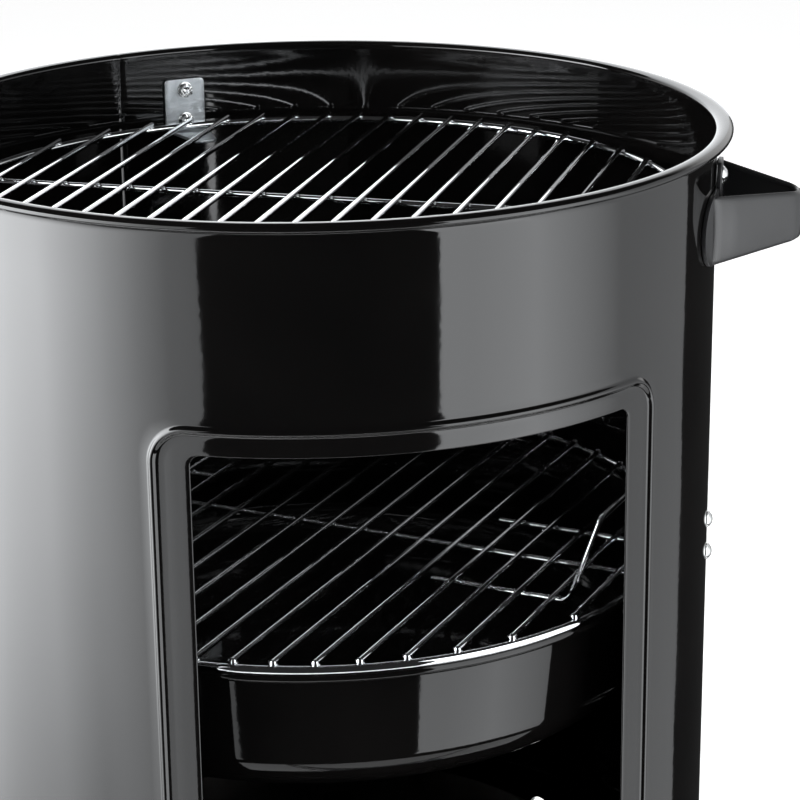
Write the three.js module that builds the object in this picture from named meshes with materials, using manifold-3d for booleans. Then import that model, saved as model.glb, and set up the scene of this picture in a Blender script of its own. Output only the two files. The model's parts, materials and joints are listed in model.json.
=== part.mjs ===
// A vertical water smoker: a charcoal bowl on three legs, an open-ended barrel that stands in it, two cooking
// grates and a water bowl inside the barrel, a drop-down door, two carrying handles, and a domed lid that is
// stored on a hanger behind the barrel. Millimetres, +Z up, the door faces -Y.
//
// Azimuths are in degrees from the door's centre, positive towards +X. Each piece is drawn as if it sat at
// azimuth 0 and is then turned about the barrel's axis.

import * as THREE from 'three';
import { mergeVertices } from 'three/addons/utils/BufferGeometryUtils.js';
import Module from 'manifold-3d';

const wasm = await Module();
wasm.setup();

// ---- driving dimensions ----------------------------------------------------------------------------------

const GAP = 0.3;              // clearance between pieces that touch
const SHEET = 1.6;            // enamelled steel sheet
const BARREL_R = 233.5;       // outside of the barrel wall
const BARREL_H = 500;
const RIM_Z = 777;            // end of the barrel's straight wall, where it turns out into the rolled rim
const BEAD_Z = RIM_Z + 2.4;   // middle of the rolled rim
const RIM_REACH = 8.7;        // how far the rolled rim stands out from the wall
const RIM_HALF = 2.8;         // half the rolled rim's height
const BARREL_Z = RIM_Z - BARREL_H;
const BARREL_SIDES = 60;
const WIRE_SIDES = 4;

const DOOR_HALF_ANGLE = 30.75;                    // half the opening's arc
const OPENING_TOP = RIM_Z - 119;
const OPENING_BOTTOM = RIM_Z - 405;
const OPENING_CORNER = 6;
const DOOR_LAP = 10;                              // the door covers the opening's edge by this much
const DOOR_OPEN = 165;                            // degrees from shut to hanging open, its rest position
const HINGE_Y = -(BARREL_R + 8);
const HINGE_Z = OPENING_BOTTOM - DOOR_LAP - 6;
const LATCH_Z = OPENING_TOP - 18;

const GRATE_PITCH = 20.6;     // spacing of the grates' bars
const RING_WIRE = 2.5;        // radius of a grate's ring wire
const BAR_WIRE = 1.8;         // radius of a grate's bar
const UPPER_GRATE = { z: RIM_Z - 43.7, radius: 218.3, turn: 31.7 };
const LOWER_GRATE = { z: RIM_Z - 245, radius: 212.4, turn: 41.7 };
const CHARCOAL_GRATE = { z: 172, radius: 209, turn: 0 };

const BOWL_RIM_R = 209;       // middle of the water bowl's rolled rim
const BOWL_DEPTH = 76;
const BASE_Z = 120;           // underside of the charcoal bowl
const COLLAR_Z = 295;         // top of the charcoal bowl's collar
const HANDLE_REACH = 48;       // from the wall to the outside of the grip
const HANDLE_HALF = 52;
const HANDLE_TOP = RIM_Z - 26.5;
const HANDLE_BOTTOM = RIM_Z - 66.5;
const HANDLE_SHEET = 2.4;
const BOLT_ROWS = [-21.6, -41.8];                 // the brackets' bolts, below the rim or the lower level
const LEVEL_DROP = 208;                           // from the upper brackets to the lower ones
const BRACKETS = { right: 64, back: -174, left: -65 };
const HANDLES = { right: 69, left: -111 };
const HANDLE_BOLT_TURN = -5;                     // from a handle's middle to its bolts
const LEGS = { right: 60, left: -60, back: 180 };
const DAMPERS = { front: 0, right: 120, left: -120 };
const DAMPER_Z = 240;

const LID_R = 238;
const LID_DEPTH = 160;
const LID_OFF = 9;                                // from the barrel wall to the stored lid's open side
const LID_TOP_Z = RIM_Z - 38;                     // highest point of the stored lid
const LID_Z = LID_TOP_Z - LID_R;

// ---- materials -------------------------------------------------------------------------------------------

const finish = (color, roughness, metalness) => new THREE.MeshStandardMaterial({ color, roughness, metalness });
const ENAMEL = finish(0x0b0b0c, 0.12, 0.0);
const BLACK_PAINT = finish(0x17181a, 0.5, 0.0);
const CHROME = finish(0xd8dadc, 0.18, 1.0);
const ZINC = finish(0xa9adaf, 0.4, 0.9);
const STEEL = finish(0x77787a, 0.5, 0.8);
const ALUMINIUM = finish(0xb4b6b8, 0.45, 0.9);
const NYLON = finish(0x1b1b1c, 0.55, 0.0);
const DIAL = finish(0xe6e6e2, 0.35, 0.1);

// ---- solid helpers ---------------------------------------------------------------------------------------

const rad = THREE.MathUtils.degToRad;

function toSolid(geometry) {
  const bare = geometry.clone();
  for (const name of Object.keys(bare.attributes)) if (name !== 'position') bare.deleteAttribute(name);
  const merged = mergeVertices(bare, 1e-4);
  const vertProperties = new Float32Array(merged.attributes.position.array);
  const index = merged.index.array;
  const kept = [];
  let volume = 0;
  const corner = [new THREE.Vector3(), new THREE.Vector3(), new THREE.Vector3()];
  for (let i = 0; i < index.length; i += 3) {
    const [a, b, c] = [index[i], index[i + 1], index[i + 2]];
    if (a === b || b === c || a === c) continue;
    kept.push(a, b, c);
    corner.forEach((v, k) => v.fromArray(vertProperties, 3 * index[i + k]));
    volume += corner[0].dot(corner[1].cross(corner[2]));
  }
  if (volume < 0) {
    for (let i = 0; i < kept.length; i += 3) [kept[i], kept[i + 1]] = [kept[i + 1], kept[i]];
  }
  const triVerts = new Uint32Array(kept);
  return new wasm.Manifold(new wasm.Mesh({ numProp: 3, vertProperties, triVerts }));
}

function toGeometry(solid) {
  const mesh = solid.getMesh();
  const geometry = new THREE.BufferGeometry();
  geometry.setAttribute('position', new THREE.BufferAttribute(new Float32Array(mesh.vertProperties), 3));
  geometry.setIndex(new THREE.BufferAttribute(new Uint32Array(mesh.triVerts), 1));
  geometry.computeVertexNormals();
  return geometry;
}

const join = (...pieces) => toGeometry(pieces.map(toSolid).reduce((all, piece) => all.add(piece)));
const cut = (body, ...tools) => toGeometry(
  tools.map(toSolid).reduce((left, tool) => left.subtract(tool), toSolid(body)),
);

function turned(profile, sides) {
  const points = profile.map(([r, z]) => new THREE.Vector2(r, z));
  return new THREE.LatheGeometry(points, sides).rotateX(Math.PI / 2);
}

const block = (x, y, z, at = [0, 0, 0]) => new THREE.BoxGeometry(x, y, z).translate(...at);

function rod(from, to, radius, sides = WIRE_SIDES) {
  const [a, b] = [new THREE.Vector3(...from), new THREE.Vector3(...to)];
  const along = b.clone().sub(a);
  const turn = new THREE.Quaternion().setFromUnitVectors(new THREE.Vector3(0, 1, 0), along.clone().normalize());
  return new THREE.CylinderGeometry(radius, radius, along.length(), sides)
    .applyQuaternion(turn)
    .translate(...a.add(b).multiplyScalar(0.5).toArray());
}

const knuckle = (at, radius) => new THREE.OctahedronGeometry(radius).translate(...at);

function extruded(shape, depth) {
  return new THREE.ExtrudeGeometry(shape, { depth, bevelEnabled: false, curveSegments: 2 });
}

// A profile in the upright plane that holds the barrel's axis, as [outward, up] points, extruded sideways.
function upright(profile, width) {
  const shape = new THREE.Shape(profile.map(([out, up]) => new THREE.Vector2(out, up)));
  return extruded(shape, width).translate(0, 0, -width / 2).rotateX(Math.PI / 2).rotateZ(-Math.PI / 2);
}

// An upright rectangle with round corners, extruded along Y.
function roundedPanel(width, height, corner, depth) {
  const [w, h] = [width / 2, height / 2];
  const shape = new THREE.Shape();
  shape.moveTo(-w + corner, -h);
  shape.lineTo(w - corner, -h).absarc(w - corner, -h + corner, corner, -Math.PI / 2, 0);
  shape.lineTo(w, h - corner).absarc(w - corner, h - corner, corner, 0, Math.PI / 2);
  shape.lineTo(-w + corner, h).absarc(-w + corner, h - corner, corner, Math.PI / 2, Math.PI);
  shape.lineTo(-w, -h + corner).absarc(-w + corner, -h + corner, corner, Math.PI, 1.5 * Math.PI);
  return extruded(shape, depth).translate(0, 0, -depth / 2).rotateX(Math.PI / 2);
}

// The closed outline that runs a distance inside a convex outline given counter-clockwise.
function inset(outline, distance) {
  return outline.map((point, i) => {
    const before = outline[(i + outline.length - 1) % outline.length];
    const after = outline[(i + 1) % outline.length];
    const inDir = point.clone().sub(before).normalize();
    const outDir = after.clone().sub(point).normalize();
    const normal = new THREE.Vector2(-inDir.y - outDir.y, inDir.x + outDir.x).normalize();
    const stretch = distance / (normal.x * -inDir.y + normal.y * inDir.x);
    return point.clone().addScaledVector(normal, stretch);
  });
}

// ---- scene graph -----------------------------------------------------------------------------------------

const smoker = new THREE.Group();

function add(name, geometry, material, azimuth = 0) {
  const mesh = new THREE.Mesh(toGeometry(toSolid(geometry)), material);
  mesh.name = name;
  mesh.rotation.z = rad(azimuth);
  smoker.add(mesh);
  return mesh;
}

// ---- barrel ----------------------------------------------------------------------------------------------

const BOLT_R = 2.9;

// A bolt that runs along -Y: a domed head outside, its shank, and a nut inside.
function bolt(outsideY, insideY) {
  const shankEnd = insideY + 7;
  const profile = [
    [0, outsideY - 3.2], [2.6, outsideY - 2.7], [5, outsideY - GAP], [BOLT_R - GAP, outsideY - GAP],
    [BOLT_R - GAP, insideY + GAP], [4.3, insideY + GAP], [4.3, insideY + 4.6], [2.2, shankEnd], [0, shankEnd],
  ];
  return turned(profile, 6).rotateX(-Math.PI / 2);
}

const boltHole = (y, z) => rod([0, y - 12, z], [0, y + 12, z], BOLT_R, 8);

function barrelProfile() {
  const inner = BARREL_R - SHEET;
  return [
    [inner, BARREL_Z], [BARREL_R, BARREL_Z], [BARREL_R, BEAD_Z - RIM_HALF],
    [BARREL_R + 6, BEAD_Z - RIM_HALF], [BARREL_R + RIM_REACH, BEAD_Z - 0.8],
    [BARREL_R + RIM_REACH, BEAD_Z + 0.8],
    [BARREL_R + 6, BEAD_Z + RIM_HALF], [inner, BEAD_Z + RIM_HALF - 0.6], [inner, BARREL_Z],
  ];
}

const openingHeight = OPENING_TOP - OPENING_BOTTOM;
const opening = roundedPanel(2 * BARREL_R * Math.sin(rad(DOOR_HALF_ANGLE)), openingHeight, OPENING_CORNER, 80)
  .translate(0, -BARREL_R, OPENING_BOTTOM + openingHeight / 2);
const wallHoles = (azimuth, drop) => BOLT_ROWS.map(
  (row) => boltHole(-BARREL_R, RIM_Z + row - drop).rotateZ(rad(azimuth)),
);
add('barrel_shell', cut(
  turned(barrelProfile(), BARREL_SIDES),
  opening,
  ...Object.values(BRACKETS).flatMap((azimuth) => [
    ...wallHoles(azimuth, 0), ...wallHoles(azimuth, LEVEL_DROP),
  ]),
  ...wallHoles(HANDLES.left + HANDLE_BOLT_TURN, 0),
), ENAMEL);

// ---- grate brackets and their bolts ----------------------------------------------------------------------

const PLATE_R = BARREL_R - SHEET - 0.9;           // a bracket's flat back, inside the round wall
const PLATE_T = 2;
const UPPER_TAB = 42;            // how far the tabs reach in under the grate, and under the water bowl's rim
const LOWER_TAB = 24;

function bracket(tabTop, tabLength) {
  const plateTop = tabTop + 32;
  const plateHeight = plateTop - tabTop + PLATE_T;
  const plate = roundedPanel(27, plateHeight, 3, PLATE_T)
    .translate(0, -PLATE_R + PLATE_T / 2, plateTop - plateHeight / 2);
  const tab = new THREE.Shape([
    new THREE.Vector2(-13, 0), new THREE.Vector2(13, 0),
    new THREE.Vector2(13 - tabLength / 8, tabLength), new THREE.Vector2(tabLength / 8 - 13, tabLength),
  ]);
  const shelf = extruded(tab, PLATE_T).translate(0, -PLATE_R + 0.2, tabTop - PLATE_T);
  const holes = BOLT_ROWS.map((row) => boltHole(-PLATE_R, tabTop + 46.5 + row));
  return cut(join(plate, shelf), ...holes);
}

const UPPER_TAB_Z = UPPER_GRATE.z - RING_WIRE - GAP;
const HANDLE_STRAP_Y = -(BARREL_R + 3.2);         // outside of a handle's strap
for (const [side, azimuth] of Object.entries(BRACKETS)) {
  add(`upper_bracket_${side}`, bracket(UPPER_TAB_Z, UPPER_TAB), ZINC, azimuth);
  add(`lower_bracket_${side}`, bracket(UPPER_TAB_Z - LEVEL_DROP, LOWER_TAB), ZINC, azimuth);
  BOLT_ROWS.forEach((row, i) => {
    const underHandle = side === 'right' ? HANDLE_STRAP_Y : -BARREL_R;
    const inside = -PLATE_R + PLATE_T;
    add(`upper_bolt_${side}_${i + 1}`, bolt(underHandle, inside).translate(0, 0, RIM_Z + row), CHROME, azimuth);
    add(`lower_bolt_${side}_${i + 1}`, bolt(-BARREL_R, inside).translate(0, 0, RIM_Z + row - LEVEL_DROP),
      CHROME, azimuth);
  });
}

// ---- carrying handles ------------------------------------------------------------------------------------

// A band bent to a blunt point, closed by a strap that follows the wall. Its plan is drawn about the barrel's
// axis, reaching out along +Y.
function handle() {
  const tipR = 18;
  const strapR = BARREL_R + GAP + 0.1;
  const tipY = strapR + HANDLE_REACH - tipR;
  const spread = Math.asin(HANDLE_HALF / strapR);
  const foot = strapR * Math.cos(spread) + 5;
  const slope = Math.atan2(tipY - foot, HANDLE_HALF - tipR);
  const outline = [];
  const arcSteps = 10;
  for (let i = 0; i <= arcSteps; i++) {
    const angle = spread * (1 - (2 * i) / arcSteps);
    outline.push(new THREE.Vector2(-strapR * Math.sin(angle), strapR * Math.cos(angle)));
  }
  outline.push(new THREE.Vector2(HANDLE_HALF, foot));
  const tipSteps = 6;
  for (let i = 0; i <= tipSteps; i++) {
    const angle = Math.PI / 2 - slope + (2 * slope * i) / tipSteps;
    outline.push(new THREE.Vector2(tipR * Math.cos(angle), tipY + tipR * Math.sin(angle)));
  }
  outline.push(new THREE.Vector2(-HANDLE_HALF, foot));
  const shape = new THREE.Shape(outline);
  shape.holes.push(new THREE.Path(inset(outline, HANDLE_SHEET)));
  const height = HANDLE_TOP - HANDLE_BOTTOM;
  const loop = extruded(shape, height);
  const position = loop.attributes.position;
  for (let i = 0; i < position.count; i++) {
    const out = Math.max(0, position.getY(i) - strapR) / HANDLE_REACH;
    if (position.getZ(i) > height / 2) position.setZ(i, height - 7 * out);
    else position.setZ(i, 3.6 * out);
  }
  loop.rotateZ(Math.PI).translate(0, 0, HANDLE_BOTTOM);
  // A taller tab takes the upper bolt.
  const tab = block(26, HANDLE_SHEET, 44, [0, HANDLE_STRAP_Y + 1.2, HANDLE_TOP - 8.5]);
  const holes = BOLT_ROWS.map((row) => boltHole(-BARREL_R, RIM_Z + row).rotateZ(rad(HANDLE_BOLT_TURN)));
  return cut(join(loop, tab.rotateZ(rad(HANDLE_BOLT_TURN))), ...holes);
}

for (const [side, azimuth] of Object.entries(HANDLES)) add(`handle_${side}`, handle(), BLACK_PAINT, azimuth);
BOLT_ROWS.forEach((row, i) => {
  const handleBolt = bolt(HANDLE_STRAP_Y, -BARREL_R + SHEET + 0.2).translate(0, 0, RIM_Z + row);
  add(`handle_bolt_left_${i + 1}`, handleBolt, CHROME, HANDLES.left + HANDLE_BOLT_TURN);
});

// ---- grates ----------------------------------------------------------------------------------------------

// A ring with parallel bars laid on it, and support wires under the bars.
function grate({ z, radius, turn }, pitch, supports) {
  const barZ = z + RING_WIRE + BAR_WIRE - 0.8;
  const supportZ = barZ - BAR_WIRE - BAR_WIRE + 0.6;
  const ring = new THREE.TorusGeometry(radius, RING_WIRE, WIRE_SIDES, 40).translate(0, 0, z);
  const pieces = [ring];
  const reach = (offset) => Math.sqrt((radius + 1) ** 2 - offset ** 2);
  const count = 2 * Math.floor((radius - 4) / pitch + 0.5);
  for (let i = 0; i < count; i++) {
    const x = (i - (count - 1) / 2) * pitch;
    pieces.push(rod([x, -reach(x), barZ], [x, reach(x), barZ], BAR_WIRE));
  }
  for (const y of supports) {
    const end = reach(y) - 2;
    pieces.push(rod([-end, y, supportZ], [end, y, supportZ], BAR_WIRE));
  }
  return join(...pieces).rotateZ(-rad(turn));
}

// A lifting loop: two wires close under the bars that turn up into an upright loop, leaning outwards.
const LOOP = { half: 50, from: 99, to: 182, rise: 52, lean: 18 };
function liftingLoop(side) {
  const z = LOWER_GRATE.z + RING_WIRE - 0.8 - BAR_WIRE - GAP;
  const foot = (y) => [side * LOOP.to, y, z];
  const top = (y) => [side * (LOOP.to + LOOP.lean), y, z + LOOP.rise];
  const wires = [-LOOP.half, LOOP.half].flatMap((y) => [
    rod([side * LOOP.from, y, z], foot(y), BAR_WIRE), knuckle(foot(y), 1.2 * BAR_WIRE),
    rod(foot(y), top(y), BAR_WIRE), knuckle(top(y), 1.2 * BAR_WIRE),
  ]);
  return join(...wires, rod(top(-LOOP.half), top(LOOP.half), BAR_WIRE)).rotateZ(-rad(LOWER_GRATE.turn));
}

add('upper_grate', grate(UPPER_GRATE, GRATE_PITCH, [3]), CHROME);
add('lower_grate', grate(LOWER_GRATE, GRATE_PITCH, [0]), CHROME);
for (const [side, sign] of [['right', 1], ['left', -1]]) add(`lifting_loop_${side}`, liftingLoop(sign), CHROME);

// ---- water bowl ------------------------------------------------------------------------------------------

const BOWL_RIM_Z = LOWER_GRATE.z - RING_WIRE - GAP - 3;
function bowlProfile() {
  const [z, r] = [BOWL_RIM_Z, BOWL_RIM_R];
  const floor = z - BOWL_DEPTH;
  return [
    [0, floor], [168, floor], [187, floor + 7], [196, floor + 22], [204.6, z - 2.4],
    [r, z - 3], [r + 3, z], [r, z + 3], [r - 4.6, z + 2.4],
    [194.4, floor + 22.4], [186, floor + 8.4], [167.6, floor + SHEET], [0, floor + SHEET],
  ];
}
add('water_bowl', turned(bowlProfile(), 40), ENAMEL);

// ---- door ------------------------------------------------------------------------------------------------

// The door's pieces are drawn shut and swung down about the hinge line to their rest position.
const swing = new THREE.Matrix4().makeTranslation(0, HINGE_Y, HINGE_Z)
  .multiply(new THREE.Matrix4().makeRotationX(rad(DOOR_OPEN)))
  .multiply(new THREE.Matrix4().makeTranslation(0, -HINGE_Y, -HINGE_Z));

function addDoorPiece(name, geometry, material) {
  add(name, geometry.applyMatrix4(swing), material);
}

const DOOR_IN = BARREL_R + 0.9;
const DOOR_OUT = DOOR_IN + SHEET;
function doorPanel() {
  const height = openingHeight + 2 * DOOR_LAP;
  const middle = OPENING_BOTTOM + openingHeight / 2;
  const width = 2 * DOOR_OUT * Math.sin(rad(DOOR_HALF_ANGLE + 3.5));
  const tube = [
    [DOOR_IN, -height], [DOOR_OUT, -height], [DOOR_OUT, height], [DOOR_IN, height], [DOOR_IN, -height],
  ];
  const wall = toSolid(turned(tube, BARREL_SIDES).translate(0, 0, middle));
  const outline = toSolid(roundedPanel(width, height, 16, 90).translate(0, -BARREL_R, middle));
  const panel = toGeometry(wall.intersect(outline));
  return cut(panel, rod([0, -DOOR_OUT - 5, LATCH_Z], [0, -DOOR_IN + 5, LATCH_Z], 4.3, 10));
}
addDoorPiece('door_panel', doorPanel(), ENAMEL);

const HINGE_ROD_R = 2.5;
const leafPlate = block(68, 2, 34, [0, -DOOR_OUT - GAP - 1, HINGE_Z + 19]);
const leafCurl = rod([-34, HINGE_Y, HINGE_Z], [34, HINGE_Y, HINGE_Z], 4.2, 10);
const hingeRod = rod([-62, HINGE_Y, HINGE_Z], [62, HINGE_Y, HINGE_Z], HINGE_ROD_R, 10);
addDoorPiece('door_hinge_leaf', join(leafPlate, leafCurl, hingeRod), ZINC);

function hingeBracket(x) {
  const ear = block(12, 20, 20, [x, HINGE_Y + 4, HINGE_Z - 5]);
  const wall = rod([0, 0, HINGE_Z - 30], [0, 0, HINGE_Z + 30], BARREL_R + GAP, BARREL_SIDES);
  const bore = rod([x - 10, HINGE_Y, HINGE_Z], [x + 10, HINGE_Y, HINGE_Z], HINGE_ROD_R + 0.5, 12);
  return cut(ear, wall, bore);
}
for (const [side, x] of [['left', -50], ['right', 50]]) {
  add(`door_hinge_bracket_${side}`, hingeBracket(x), ZINC);
}

// The knob turns the latch blade behind the barrel wall above the opening.
const KNOB_Y = -DOOR_OUT - 0.6;
const knobProfile = [[0, 0], [10, 0], [10, 6], [17, 9], [18.5, 15], [17, 22], [11, 25.5], [0, 26]];
const BLADE_Y = -(BARREL_R - SHEET - 2.4);
addDoorPiece('door_latch_knob',
  join(
    turned(knobProfile, 16).rotateX(Math.PI / 2).translate(0, KNOB_Y, LATCH_Z),
    rod([0, KNOB_Y - 4, LATCH_Z], [0, BLADE_Y - GAP, LATCH_Z], 3.8, 10),
  ), NYLON);
addDoorPiece('door_latch_blade', roundedPanel(38, 12, 5, 2).translate(12, BLADE_Y + 1, LATCH_Z), ZINC);

// ---- charcoal bowl, its grate and fuel ring --------------------------------------------------------------

const LEDGE_Z = BARREL_Z - GAP;
const WALL_R = 229;            // outside of the charcoal bowl below its ledge
function charcoalBowlProfile() {
  const inner = WALL_R - SHEET;
  const collar = BARREL_R + 1.2;
  return [
    [0, BASE_Z], [130, BASE_Z], [190, BASE_Z + 22], [221, BASE_Z + 60], [WALL_R, BASE_Z + 92],
    [WALL_R, LEDGE_Z - 5], [collar + SHEET, LEDGE_Z - 1], [collar + SHEET, COLLAR_Z - 5],
    [collar + 5.5, COLLAR_Z - 2.5], [collar + 1.5, COLLAR_Z], [collar, COLLAR_Z - 2],
    [collar, LEDGE_Z], [inner, LEDGE_Z], [inner, BASE_Z + 92.4], [219.5, BASE_Z + 60.8], [189, BASE_Z + 23.4],
    [129.6, BASE_Z + SHEET], [0, BASE_Z + SHEET],
  ];
}

const DAMPER_HOLE = { radius: 8, out: 17 };
const ventHoles = (y, depth) => [0, 120, 240].map((angle) => {
  const [x, z] = [DAMPER_HOLE.out * Math.sin(rad(angle)), DAMPER_HOLE.out * Math.cos(rad(angle))];
  return rod([x, y - depth, z], [x, y + depth, z], DAMPER_HOLE.radius, 6);
});
const pivotHole = (y) => rod([0, y - 12, 0], [0, y + 12, 0], 2.6, 8);
const LEG_BOLT_Z = [220, 246];
const legHoles = Object.values(LEGS).flatMap((azimuth) => LEG_BOLT_Z.map(
  (z) => boltHole(-WALL_R, z).rotateZ(rad(azimuth)),
));
const damperHoles = Object.values(DAMPERS).flatMap((azimuth) => {
  const holes = [...ventHoles(-WALL_R, 12), pivotHole(-WALL_R)];
  return holes.map((hole) => hole.translate(0, 0, DAMPER_Z).rotateZ(rad(azimuth)));
});
add('charcoal_bowl', cut(turned(charcoalBowlProfile(), 48), ...legHoles, ...damperHoles), ENAMEL);

// A damper disc with its rivet, and a lug to push it round.
function damper() {
  const [face, thick] = [-WALL_R - 0.5, 1.6];
  const disc = rod([0, face - thick, 0], [0, face, 0], 30, 18);
  const rivet = rod([0, face - thick - 2, 0], [0, -WALL_R + SHEET + 3, 0], 2.2, 6);
  const lug = block(14, 16, 2, [0, face - thick - 7, -24]);
  return join(cut(disc, ...ventHoles(face, 6)), rivet, lug).translate(0, 0, DAMPER_Z);
}
for (const [side, azimuth] of Object.entries(DAMPERS)) add(`bowl_damper_${side}`, damper(), ALUMINIUM, azimuth);

add('charcoal_grate', grate(CHARCOAL_GRATE, 30, [-80, 80]), STEEL);

// The fuel ring is a sheet rolled into a tube, with rows of air slots.
function fuelRing() {
  const [radius, height, slots] = [170, 112, 10];
  const bottom = CHARCOAL_GRATE.z + RING_WIRE + 2 * BAR_WIRE - 0.8 + GAP;
  const wall = [[radius - SHEET, bottom], [radius, bottom], [radius, bottom + height],
    [radius - SHEET, bottom + height], [radius - SHEET, bottom]];
  const tools = [];
  for (const row of [30, 82]) {
    for (let i = 0; i < slots; i++) {
      tools.push(block(22, 20, 14, [0, -radius, bottom + row]).rotateZ((2 * Math.PI * (i + 0.5)) / slots));
    }
  }
  return cut(turned(wall, 40), ...tools);
}
add('fuel_ring', fuelRing(), STEEL);

// ---- legs and heat shield --------------------------------------------------------------------------------

const LEG = { top: 257, knee: 212, foot: 6, inside: WALL_R + 0.6, spread: 20, thick: 2.6, width: 30, lug: 70 };
function legProfile(thick) {
  const out = LEG.inside + LEG.spread;
  return [[LEG.inside, LEG.top], [LEG.inside, LEG.knee], [out, LEG.foot], [out + thick, LEG.foot],
    [LEG.inside + thick, LEG.knee + 1], [LEG.inside + thick, LEG.top]];
}
const legOutAt = (z) => LEG.inside + (LEG.spread * (LEG.knee - z)) / (LEG.knee - LEG.foot);

function leg() {
  const strip = upright(legProfile(LEG.thick), LEG.width);
  const flange = upright(legProfile(16), LEG.thick).translate(LEG.width / 2 - LEG.thick / 2, 0, 0);
  const lug = block(LEG.width - 8, 18, LEG.thick, [0, -legOutAt(LEG.lug) + 8, LEG.lug]);
  return cut(join(strip, flange, lug), ...LEG_BOLT_Z.map((z) => boltHole(-LEG.inside, z)));
}

function foot() {
  const out = legOutAt(LEG.foot + 8);
  const cap = block(LEG.width + 8, 26, 18, [0, -out - 8, 9]);
  const pocket = upright(legProfile(LEG.thick), LEG.width + 2 * GAP);
  const wide = upright(legProfile(16.5), LEG.thick + 2 * GAP).translate(LEG.width / 2 - LEG.thick / 2, 0, 0);
  const room = [GAP, -GAP].flatMap((y) => [pocket, wide].map((shape) => shape.clone().translate(0, y, -GAP)));
  return cut(cap, ...room);
}

for (const [side, azimuth] of Object.entries(LEGS)) {
  add(`leg_${side}`, leg(), ALUMINIUM, azimuth);
  add(`foot_${side}`, foot(), NYLON, azimuth);
  LEG_BOLT_Z.forEach((z, i) => {
    const legBolt = bolt(-LEG.inside - LEG.thick, -WALL_R + SHEET).translate(0, 0, z);
    add(`leg_bolt_${side}_${i + 1}`, legBolt, CHROME, azimuth);
  });
}

const SHIELD_Z = LEG.lug + LEG.thick / 2 + GAP;
const shieldProfile = [
  [0, SHIELD_Z - 8], [150, SHIELD_Z - 8], [205, SHIELD_Z], [236, SHIELD_Z], [238, SHIELD_Z + 12],
  [236.6, SHIELD_Z + 12], [234.6, SHIELD_Z + 1.6], [204.6, SHIELD_Z + 1.6], [149.6, SHIELD_Z - 6.4],
  [0, SHIELD_Z - 6.4],
];
add('heat_shield', turned(shieldProfile, 32), ALUMINIUM);

// ---- lid, stored upright behind the barrel ---------------------------------------------------------------

// The lid is drawn lying with its open side down at z = 0, then stood up with that side towards the barrel.
const standLid = new THREE.Matrix4().makeTranslation(0, BARREL_R + LID_OFF, LID_Z)
  .multiply(new THREE.Matrix4().makeRotationX(-Math.PI / 2));

function addLidPiece(name, geometry, material) {
  add(name, geometry.applyMatrix4(standLid), material);
}

// Height of the dome's outside over the open side, at a distance from the lid's middle.
const DOME_R = LID_R - 2;
const SKIRT = 14;
const domeHeight = (r) => SKIRT + (LID_DEPTH - SKIRT) * Math.sqrt(Math.max(0, 1 - (r / DOME_R) ** 2));

const DOME_RINGS = [0, 90, 155, 200, 226, 234];
function lidProfile() {
  const outer = DOME_RINGS.map((r) => [r, domeHeight(r)]);
  const inner = DOME_RINGS.map((r) => [Math.max(0, r - 0.7), domeHeight(r) - SHEET]).reverse();
  return [...outer, [DOME_R, SKIRT], [DOME_R, 4], [LID_R, 2.5], [LID_R, 0], [DOME_R - SHEET, 0],
    [DOME_R - SHEET, SKIRT - 1], ...inner];
}

const LID_VENT = { x: 0, y: 120 };                // the damper, low on the stored lid
const LID_DIAL = { x: 96, y: -96 };
// Puts a piece drawn about the vertical axis, with the dome's surface at z = 0, onto the dome.
function onDome(geometry, { x, y }) {
  const r = Math.hypot(x, y);
  const slope = Math.atan2(domeHeight(r - 12) - domeHeight(r + 12), 24);
  return geometry.rotateY(slope).translate(r, 0, domeHeight(r)).rotateZ(Math.atan2(y, x));
}
const upHole = (x, y, radius) => rod([x, y, -20], [x, y, 20], radius, 6);
const lidVents = () => [0, 120, 240].map((angle) => {
  const [x, y] = [DAMPER_HOLE.out * Math.cos(rad(angle)), DAMPER_HOLE.out * Math.sin(rad(angle))];
  return upHole(x, y, DAMPER_HOLE.radius);
});
const HANDLE_POSTS = [-58, 58];
addLidPiece('lid_shell', cut(
  turned(lidProfile(), 40),
  ...lidVents().map((hole) => onDome(hole, LID_VENT)),
  onDome(upHole(0, 0, 2.6), LID_VENT),
  onDome(upHole(0, 0, 6), LID_DIAL),
  ...HANDLE_POSTS.map((x) => upHole(x, 0, 3).translate(0, 0, LID_DEPTH - 10)),
), ENAMEL);

// The lid's bail: a grip held between two bent feet that bolt to the dome.
function lidHandle() {
  const footZ = domeHeight(HANDLE_POSTS[1]) + 0.9;
  const posts = HANDLE_POSTS.flatMap((x) => [
    rod([x, 0, footZ - 10], [x, 0, footZ + 28], 2.6, 8),
    rod([x, 0, footZ], [x, 0, footZ + 6], 8, 12),
  ]);
  const grip = rod([-70, 0, footZ + 34], [70, 0, footZ + 34], 10, 12);
  return join(grip, ...posts);
}
addLidPiece('lid_handle', lidHandle(), NYLON);

function lidDamper() {
  const disc = cut(rod([0, 0, 0.6], [0, 0, 2.2], 30, 18), ...lidVents());
  return join(disc, rod([0, 0, -5], [0, 0, 4.4], 2.2, 6), block(2, 14, 16, [24, 0, 9]));
}
addLidPiece('lid_damper', onDome(lidDamper().translate(0, 0, 3.2), LID_VENT), ALUMINIUM);

const dialProfile = [
  [0, -30], [1.8, -30], [1.8, -6], [4.8, -5.6], [4.8, 4.4], [27, 5.4], [27, 14], [24, 15.6], [0, 15.6],
];
addLidPiece('lid_thermometer', onDome(turned(dialProfile, 16), LID_DIAL), DIAL);

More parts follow.
